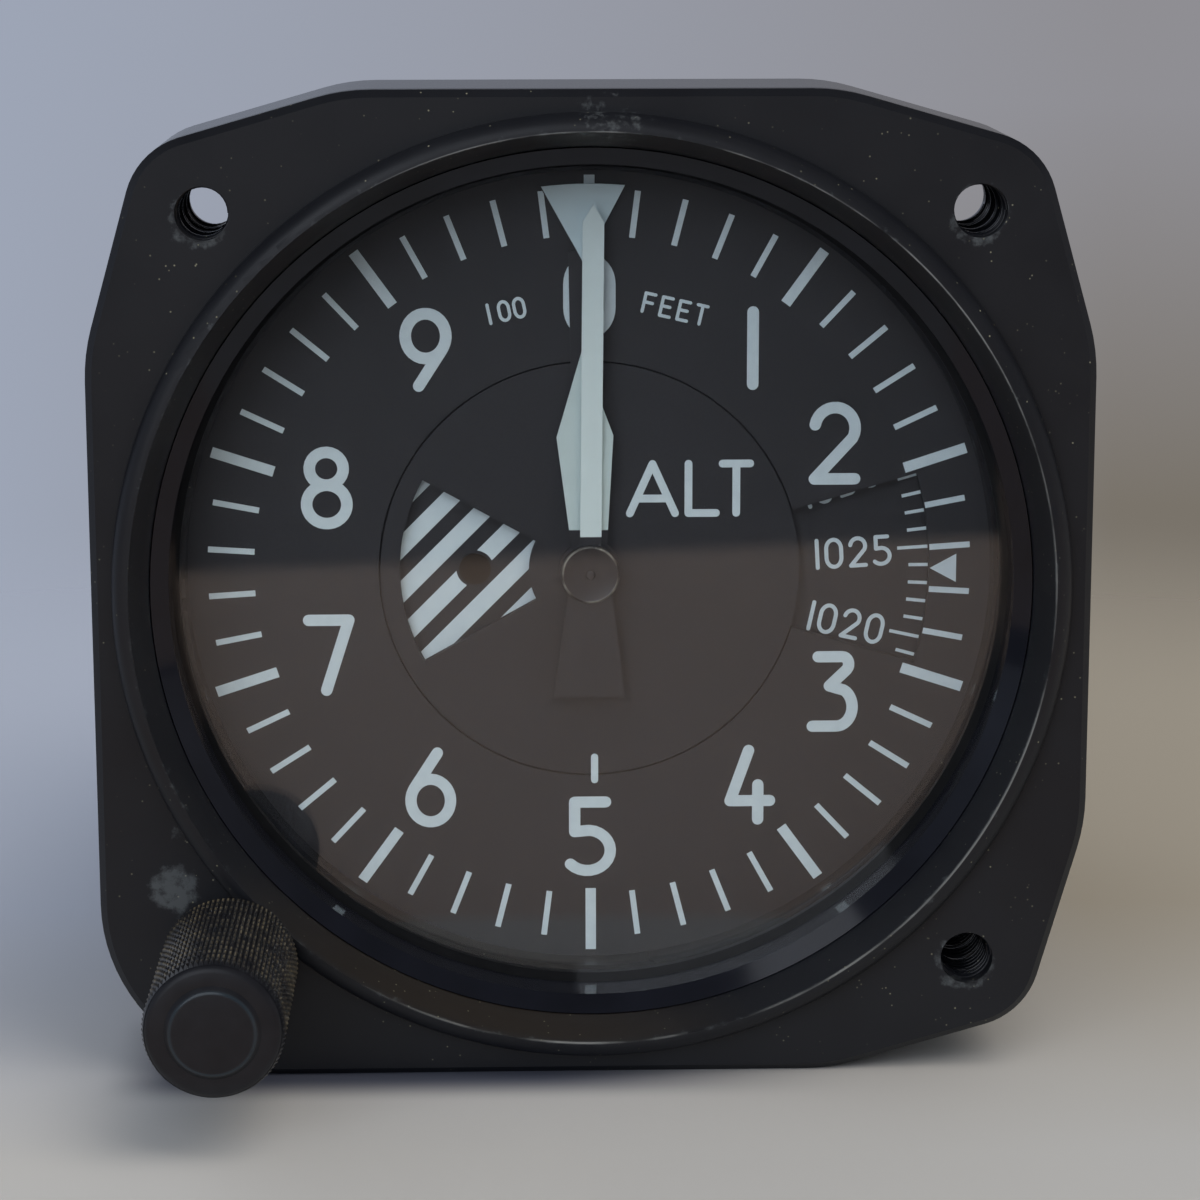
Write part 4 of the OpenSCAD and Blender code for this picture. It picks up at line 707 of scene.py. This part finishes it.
# ---- knob ----
def knurl_tree():
    """Rows of small four-sided points wrapped round a cylinder along Z."""
    sizes = {"Around": "Int", "Rows": "Int", "Radius": "Float", "Length": "Float", "Height": "Float"}
    tree, source, sink = new_tree("square knurl", {**sizes, "Material": "Material"})
    around, rows, radius, length, height = (source.outputs[label] for label in sizes)
    total = add(tree, MATH, {0: around, 1: rows}, operation="MULTIPLY")
    points = add(tree, "GeometryNodePoints", {"Count": total})
    index = add(tree, "GeometryNodeInputIndex")
    share = add(tree, MATH, {0: index, 1: around}, operation="DIVIDE")
    row = add(tree, MATH, {0: share}, operation="FLOOR")
    step = add(tree, MATH, {0: 2 * math.pi, 1: around}, operation="DIVIDE")
    angle = add(tree, MATH, {0: index, 1: step}, operation="MULTIPLY")
    pitch = add(tree, MATH, {0: radius, 1: step}, operation="MULTIPLY")
    along = add(tree, MATH, {0: row, 1: length}, operation="MULTIPLY")
    longer = add(tree, MATH, {0: length, 1: pitch}, operation="DIVIDE")
    longer = add(tree, MATH, {0: longer, 1: KNURL_OVERLAP}, operation="MULTIPLY")
    stretch = add(tree, "ShaderNodeCombineXYZ", {"X": 1.0, "Y": 1.0, "Z": longer})
    turn = add(tree, "ShaderNodeCombineXYZ", {"Z": angle})
    reach = add(tree, "ShaderNodeCombineXYZ", {"X": radius, "Z": along})
    spot = add(tree, "ShaderNodeVectorRotate", {"Vector": reach, "Angle": angle}, rotation_type="Z_AXIS")
    placed = add(tree, "GeometryNodeSetPosition", {"Geometry": points, "Position": spot})
    corner = add(tree, MATH, {0: pitch, 1: math.sqrt(0.5)}, operation="MULTIPLY")
    pyramid = {"Vertices": 4, "Radius Top": 0.0, "Radius Bottom": corner, "Depth": height}
    point = add(tree, "GeometryNodeMeshCone", pyramid)
    for rotation in ((0, 0, math.pi / 4), (0, math.pi / 2, 0)):
        point = add(tree, "GeometryNodeTransform", {"Geometry": point, "Rotation": rotation})
    spread = {"Points": placed, "Instance": point, "Rotation": turn, "Scale": stretch}
    return end_tree(tree, source, sink, add(tree, "GeometryNodeInstanceOnPoints", spread))


class ALTIMETER_OT_knob(Operator):
    """Turns the setting knob and wraps the knurl round it"""

    bl_idname = "altimeter.knob"
    bl_label = "Setting knob"

    def execute(self, context):
        knob = context.scene.altimeter_knob
        low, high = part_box("setting_knob")
        front, back = low.y, high.y
        core = (high.x - low.x) / 2 - knob.height
        boss = KNOB_BOSS
        turned = [
            (0, back),
            (core - 0.5 * MM, back),
            (core, back - 0.5 * MM),
            (core, front + 1.0 * MM),
            # Rounded shoulder
            (core - 0.05 * MM, front + 0.8 * MM),
            (core - 0.25 * MM, front + 0.55 * MM),
            (core - 0.6 * MM, front + 0.42 * MM),
            # Bevel up to the boss
            (boss + 0.4 * MM, front + 0.42 * MM),
            (boss + 0.08 * MM, front + 0.12 * MM),
            (boss, front + 0.06 * MM),
            (boss - 0.09 * MM, front + 0.02 * MM),
            (boss - 0.2 * MM, front),
            (0, front),
        ]
        bm = bmesh.new()
        lathe(bm, turned, KNOB_AT)
        body = finish_piece(bm, "knob_turned", MATERIALS["knurl"], "knob")
        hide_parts("setting_knob")
        plain_ends, sunk, first_row = 1.5 * MM, 0.02 * MM, 1.1 * MM  # first_row is its distance from the back
        values = {
            "Around": knob.around,
            "Rows": int((back - front - plain_ends) / knob.length),
            "Radius": core - sunk,
            "Length": knob.length,
            "Height": knob.height,
            "Material": MATERIALS["knurl"],
        }
        knurl = evaluated("knob_knurl", bpy.data.meshes.new("knurl_blank"), knurl_tree(), values, "knob")
        start = Matrix.Translation((KNOB_AT.x, back - first_row, KNOB_AT.z))
        knurl.data.transform(start @ Matrix.Rotation(math.pi / 2, 4, "X"))
        return {"FINISHED"}


# ---- threads and screws ----
THREAD_START = 0.9 * MM  # depth at which the mounting threads begin
PORT_THREAD_START = 9.2 * MM  # the port's thread begins this far inside its rear end


def thread_tree():
    """A helical ridge at each point of a mesh, for the threads of tapped holes."""
    sizes = {"Radius": "Float", "Pitch": "Float", "Length": "Float", "Depth": "Float"}
    tree, source, sink = new_tree("tapped thread", {**sizes, "Material": "Material"})
    radius, pitch, length, depth = (source.outputs[label] for label in sizes)
    turns = add(tree, MATH, {0: length, 1: pitch}, operation="DIVIDE")
    coil = {"Resolution": 32, "Rotations": turns, "Start Radius": radius, "End Radius": radius, "Height": length}
    helix = add(tree, "GeometryNodeCurveSpiral", coil)
    ridge = add(tree, "GeometryNodeCurvePrimitiveCircle", {"Resolution": 4, "Radius": depth})
    rod = add(tree, "GeometryNodeCurveToMesh", {"Curve": helix, "Profile Curve": ridge, "Fill Caps": True})
    lying = add(tree, "GeometryNodeTransform", {"Geometry": rod, "Rotation": (-math.pi / 2, 0, 0)})
    spread = {"Points": source.outputs["Geometry"], "Instance": lying}
    return end_tree(tree, source, sink, add(tree, "GeometryNodeInstanceOnPoints", spread))


class ALTIMETER_OT_threads(Operator):
    """Cuts the look of a thread into the mounting holes and the static port"""

    bl_idname = "altimeter.threads"
    bl_label = "Threads"

    def execute(self, context):
        tree = thread_tree()
        low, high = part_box("static_port")
        holes = [(x * HOLE_AT, THREAD_START, z * HOLE_AT) for x, z in HOLES]
        port = [((low.x + high.x) / 2, high.y - PORT_THREAD_START, (low.z + high.z) / 2)]
        # Radius, pitch, length and depth in millimetres
        runs = (
            ("mounting_threads", holes, (2.2, 0.79, 12.6, 0.18), "housing", "black_housing"),
            ("port_thread", port, (4.2, 0.94, 8.4, 0.25), "alloy", "port_alloy"),
        )
        for name, spots, sizes, finish, slot in runs:
            mesh = bpy.data.meshes.new(name + "_points")
            mesh.from_pydata(spots, [], [])
            values = dict(zip(("Radius", "Pitch", "Length", "Depth"), (size * MM for size in sizes)))
            values["Material"] = MATERIALS[finish]
            piece = evaluated(name, mesh, tree, values, "case")
        return {"FINISHED"}


def stack(bm, outline, levels, place):
    """Skins an outline at several heights, given as (height, scale), and caps both ends."""
    rings = [[bm.verts.new(place @ Vector((x * grow, y * grow, z))) for x, y in outline] for z, grow in levels]
    for lower, upper in zip(rings, rings[1:]):
        for k in range(len(outline)):
            n = (k + 1) % len(outline)
            bm.faces.new((lower[k], lower[n], upper[n], upper[k]))
    for ring in (rings[0], rings[-1]):
        bm.faces.new(ring)


class ALTIMETER_OT_screws(Operator):
    """Slots the heads of the four screws that hold the case"""

    bl_idname = "altimeter.screws"
    bl_label = "Case screws"

    def execute(self, context):
        low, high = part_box("case_screws")
        radius = (high.y - low.y) / 2
        head_t, slot_w, slot_d, chamfer, sunk = 1.0 * MM, 0.75 * MM, 0.65 * MM, 0.12 * MM, 0.05 * MM
        lean = math.degrees(math.asin(slot_w / 2 / radius))
        floor = arc(0, 0, radius, radius, 0, 360, 48)[:-1]
        land = arc(0, 0, radius, radius, lean, 180 - lean, 24)
        crown = [(-slot_d - sunk, 1), (-chamfer, 1), (0, 1 - chamfer / radius)]
        slot_angles = (20, 75, -35, 50)  # as the screws happened to end when tightened
        bm = bmesh.new()
        for side, twist in enumerate(slot_angles):
            out = Matrix.Rotation(side * math.pi / 2, 4, "Y") @ Matrix.Translation((0, (low.y + high.y) / 2, high.z))
            stack(bm, floor, [(-head_t, 1), (-slot_d, 1)], out)
            for half in (twist, twist + 180):
                stack(bm, land, crown, out @ Matrix.Rotation(math.radians(half), 4, "Z"))
        piece = finish_piece(bm, "case_screw_heads", MATERIALS["steel"], "case")
        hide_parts("case_screws")
        return {"FINISHED"}


class ALTIMETER_OT_hub(Operator):
    """Turns the cap over the pointers' hub"""

    bl_idname = "altimeter.hub"
    bl_label = "Hub cap"

    def execute(self, context):
        low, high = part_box("hub_cap")
        radius = (high.x - low.x) / 2
        pip_h = 0.1 * MM
        front, back = low.y + pip_h, high.y
        turned = [
            (0, back),
            (radius, back),
            # Rounded rim
            (radius, front + 0.18 * MM),
            (radius - 0.06 * MM, front + 0.07 * MM),
            (radius - 0.2 * MM, front),
            (radius - 0.34 * MM, front + 0.06 * MM),
            # Pip in the middle
            (0.6 * MM, front + 0.03 * MM),
            (0.42 * MM, front + 0.03 * MM),
            (0.36 * MM, front - 0.06 * MM),
            (0.2 * MM, front - pip_h),
            (0, front - pip_h),
        ]
        bm = bmesh.new()
        lathe(bm, turned, Vector((0, 0, 0)), 72)
        piece = finish_piece(bm, "hub_cap_turned", MATERIALS["hub"], "long_pointer")
        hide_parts("hub_cap")
        return {"FINISHED"}


# ---- stage ----
FLOOR_RADIUS = 1.6
FLOOR_BLOTCH = 14.0  # blotches in a metre
SHEET_MOTTLE = 300.0  # specks in a metre
FADE_MIDDLE, FADE_FROM, FADE_TO = (0.0, -0.1, 0.0), 0.24, 0.38  # the floor fades out between these radii
# Cool shade where the flange stands on the floor: axis, and where it starts and is full, in millimetres
CONTACT_SHADE = (("Y", -7.0, -1.0), ("Y", 18.0, 12.0), ("X", 24.0, -6.0), ("X", -42.0, -34.0))
SHADE_DEPTH = 0.95
SHEET_HALF_W = 1.4
SHEET_RUN = [(-0.03, 0.001), (-1.6, 0.001), (-1.9, 0.3), (-1.9, 1.8)]  # (y, height): forward from the flange, then up
# Soft boxes: name, place, size, setting of the power, colour
LAMPS = (
    ("key_box", (0.38, -0.3, 0.8), 0.7, "key_power", "#fff6ea"),
    ("fill_box", (-0.35, -1.0, 0.5), 0.9, "fill_power", "#eef4ff"),
    ("back_box", (-0.6, 0.75, 0.5), 0.7, "back_power", "#eef4ff"),
)
ROOM_LIGHT = 0.55
# Camera at the photograph's place
CAMERA_AT = (-0.007338, -0.287332, 0.057604)
CAMERA_RIGHT, CAMERA_UP = Vector((0.99961, -0.0278, -0.0016)), Vector((0.00707, 0.19785, 0.98021))
CAMERA_LENS, CAMERA_SENSOR = 106.81, 36.0


def lay_floor(stage):
    """Pale painted floor with painted shade towards the back, cool at the left and warm at the right, that fades into
    the surroundings.
    """
    material, tree, shader, coords = new_material("pale painted floor")
    mottle = add(tree, NOISE, {"Vector": coords, "Scale": FLOOR_BLOTCH, "Detail": 3.0})
    tone = add(tree, MIX, {"Factor": mottle, 6: stage.floor, 7: linear("#adadad")}, data_type="RGBA")
    axes = add(tree, AXES, {0: coords}).outputs
    # Painted shade towards the back: cool at the left, warm and darker at the right
    share = add(tree, RANGE, {"Value": axes["X"], "From Min": -0.05, "From Max": 0.05})
    back = add(tree, RANGE, {"Value": axes["Y"], "From Min": -0.02, "From Max": 0.05})
    sides = add(tree, MIX, {"Factor": share, 6: linear("#a9b1c2"), 7: linear("#9f9789")}, data_type="RGBA")
    tone = add(tree, MIX, {"Factor": back, 6: tone, 7: sides}, data_type="RGBA")
    shade = SHADE_DEPTH
    for axis, start, full in CONTACT_SHADE:
        span = {"Value": axes[axis], "From Min": start * MM, "From Max": full * MM}
        limit = add(tree, RANGE, span, interpolation_type="SMOOTHSTEP")
        shade = add(tree, MATH, {0: limit, 1: shade}, operation="MULTIPLY")
    tone = add(tree, MIX, {"Factor": shade, 6: tone, 7: linear("#3c4152")}, data_type="RGBA")
    join(shader, {"Base Color": tone, "Roughness": 0.7})
    far = add(tree, VECTOR, {0: coords, 1: FADE_MIDDLE}, operation="DISTANCE")
    span = {"Value": far, "From Min": FADE_FROM, "From Max": FADE_TO}
    fade = add(tree, RANGE, span, interpolation_type="SMOOTHSTEP")
    clear = add(tree, "ShaderNodeBsdfTransparent")
    both = add(tree, "ShaderNodeMixShader", {0: fade, 1: shader, 2: clear})
    join(tree.get_output_node("ALL"), {"Surface": both})
    bm = bmesh.new()
    bmesh.ops.create_circle(bm, cap_ends=True, segments=96, radius=FLOOR_RADIUS)
    floor = new_object("floor", to_mesh(bm, "floor", material))
    floor.location.z = FLOOR_Z


def hang_front_sheet():
    """Sheet in front of the set, seen only in reflections: its two tones are a painted reflection, which the glass
    shows warm below and dark above.
    """
    material, tree, shader, coords = new_material("dyed felt sheet")
    sheet_mottle = add(tree, NOISE, {"Vector": coords, "Scale": SHEET_MOTTLE, "Detail": 2.0})
    reflection_tone = add(tree, MIX, {"Factor": sheet_mottle, 6: linear("#151417"), 7: linear("#232126")}, data_type="RGBA")
    # The edge between its two colours runs aslant and is soft
    edge = add(tree, VECTOR, {0: coords, 1: (0.2075, 1.0, 0.0)}, operation="DOT_PRODUCT")
    span = {"Value": edge, "From Min": -0.208, "From Max": -0.226}
    dark = add(tree, RANGE, span, interpolation_type="SMOOTHSTEP")
    # Warm lower tone and dark upper tone: a painted reflection for the glass
    reflection_tone = add(tree, MIX, {"Factor": dark, 6: linear("#ae998a"), 7: reflection_tone}, data_type="RGBA")
    join(shader, {"Base Color": reflection_tone, "Roughness": 0.9})
    bm = bmesh.new()
    sides = (-SHEET_HALF_W, SHEET_HALF_W)
    rows = [[bm.verts.new((x, y, FLOOR_Z + z)) for x in sides] for y, z in SHEET_RUN]
    for (a, b), (c, d) in zip(rows, rows[1:]):
        bm.faces.new((a, b, d, c))
    sheet = new_object("front_sheet", to_mesh(bm, "front_sheet", material))
    sheet.visible_camera = sheet.visible_diffuse = sheet.visible_shadow = False


def place_lamps(stage):
    """Soft boxes turned towards the altimeter; the key box stays out of the glossy bezel."""
    for name, place, size, power, colour in LAMPS:
        lamp = bpy.data.lights.new(name, "AREA")
        lamp.size = size
        lamp.energy = getattr(stage, power)
        lamp.color = linear(colour)[:3]
        holder = new_object(name, lamp)
        holder.location = place
        holder.rotation_euler = (-Vector(place)).to_track_quat("-Z", "Y").to_euler()
        holder.visible_glossy = name != "key_box"


def paint_room(scene):
    """Surroundings: even light, and a pale wall from cool at the left to warm at the right, dark overhead."""
    world = bpy.data.worlds.new("pale room")
    scene.world = world
    world.use_nodes = True
    tree = world.node_tree
    tree.nodes.clear()
    ambient = add(tree, "ShaderNodeBackground", {"Color": linear("#e9edf2"), "Strength": ROOM_LIGHT})
    way = add(tree, "ShaderNodeTexCoord").outputs["Generated"]
    axes = add(tree, AXES, {0: way}).outputs
    share = add(tree, RANGE, {"Value": axes["X"], "From Min": -0.15, "From Max": 0.17})
    height = add(tree, RANGE, {"Value": axes["Z"], "From Min": -0.17, "From Max": -0.06})
    warm = add(tree, MIX, {"Factor": height, 6: linear("#79736a"), 7: linear("#8f8e93")}, data_type="RGBA")
    wall = add(tree, MIX, {"Factor": share, 6: linear("#9ea6b7"), 7: warm}, data_type="RGBA")
    above = add(tree, RANGE, {"Value": axes["Z"], "From Min": 0.15, "From Max": 0.6})
    wall = add(tree, MIX, {"Factor": above, 6: wall, 7: linear("#2b2c31")}, data_type="RGBA")
    seen = add(tree, "ShaderNodeBackground", {"Color": wall, "Strength": 1.0})
    # The wall shows to the camera, in gloss and through glass
    path = add(tree, "ShaderNodeLightPath").outputs
    shown = add(tree, MATH, {0: path["Is Camera Ray"], 1: path["Is Glossy Ray"]}, operation="MAXIMUM")
    shown = add(tree, MATH, {0: shown, 1: path["Is Transmission Ray"]}, operation="MAXIMUM")
    both = add(tree, "ShaderNodeMixShader", {0: shown, 1: ambient, 2: seen})
    add(tree, "ShaderNodeOutputWorld", {"Surface": both})


def place_camera(scene):
    """Camera fitted to the photograph."""
    camera = bpy.data.cameras.new("camera")
    camera.sensor_width = CAMERA_SENSOR
    camera.lens = CAMERA_LENS
    camera.clip_start = 0.01
    camera.dof.use_dof = False
    holder = new_object("camera", camera)
    turned = Matrix((CAMERA_RIGHT, CAMERA_UP, CAMERA_RIGHT.cross(CAMERA_UP))).transposed()
    holder.matrix_world = Matrix.Translation(CAMERA_AT) @ turned.to_4x4()
    scene.camera = holder


class ALTIMETER_OT_stage(Operator):
    """Sets the floor, lamps, surroundings and camera"""

    bl_idname = "altimeter.stage"
    bl_label = "Stage"

    def execute(self, context):
        scene = context.scene
        scene.view_settings.view_transform = "Standard"
        lay_floor(scene.altimeter_stage)
        hang_front_sheet()
        place_lamps(scene.altimeter_stage)
        paint_room(scene)
        place_camera(scene)
        return {"FINISHED"}


# ---- add-on ----
class ALTIMETER_PT_panel(Panel):
    """Lists the steps and the sizes and colours that they use"""

    bl_idname = "ALTIMETER_PT_panel"
    bl_label = "Altimeter"
    bl_space_type = "VIEW_3D"
    bl_region_type = "UI"
    bl_category = "Altimeter"

    def draw(self, context):
        for group in GROUPS:
            settings = getattr(context.scene, group)
            box = self.layout.box()
            for name in settings.bl_rna.properties.keys():
                if name not in ("rna_type", "name"):
                    box.prop(settings, name)
        for operator in OPERATORS:
            self.layout.operator(operator.bl_idname)


OPERATORS = (
    ALTIMETER_OT_finishes,
    ALTIMETER_OT_lettering,
    ALTIMETER_OT_scale_digits,
    ALTIMETER_OT_knob,
    ALTIMETER_OT_threads,
    ALTIMETER_OT_screws,
    ALTIMETER_OT_hub,
    ALTIMETER_OT_stage,
)
GROUPS = {
    "altimeter_dial": DialSettings,
    "altimeter_knob": KnobSettings,
    "altimeter_finish": FinishSettings,
    "altimeter_stage": StageSettings,
}
CLASSES = (*GROUPS.values(), *OPERATORS, ALTIMETER_PT_panel)


def register():
    for cls in CLASSES:
        bpy.utils.register_class(cls)
    for name, group in GROUPS.items():
        setattr(bpy.types.Scene, name, PointerProperty(type=group))


def unregister():
    for name in GROUPS:
        delattr(bpy.types.Scene, name)
    for cls in reversed(CLASSES):
        bpy.utils.unregister_class(cls)


def main():
    register()
    bpy.ops.altimeter.finishes()
    bpy.ops.altimeter.lettering()
    bpy.ops.altimeter.scale_digits()
    bpy.ops.altimeter.knob()
    bpy.ops.altimeter.threads()
    bpy.ops.altimeter.screws()
    bpy.ops.altimeter.hub()
    bpy.ops.altimeter.stage()


if __name__ == "__main__":
    main()
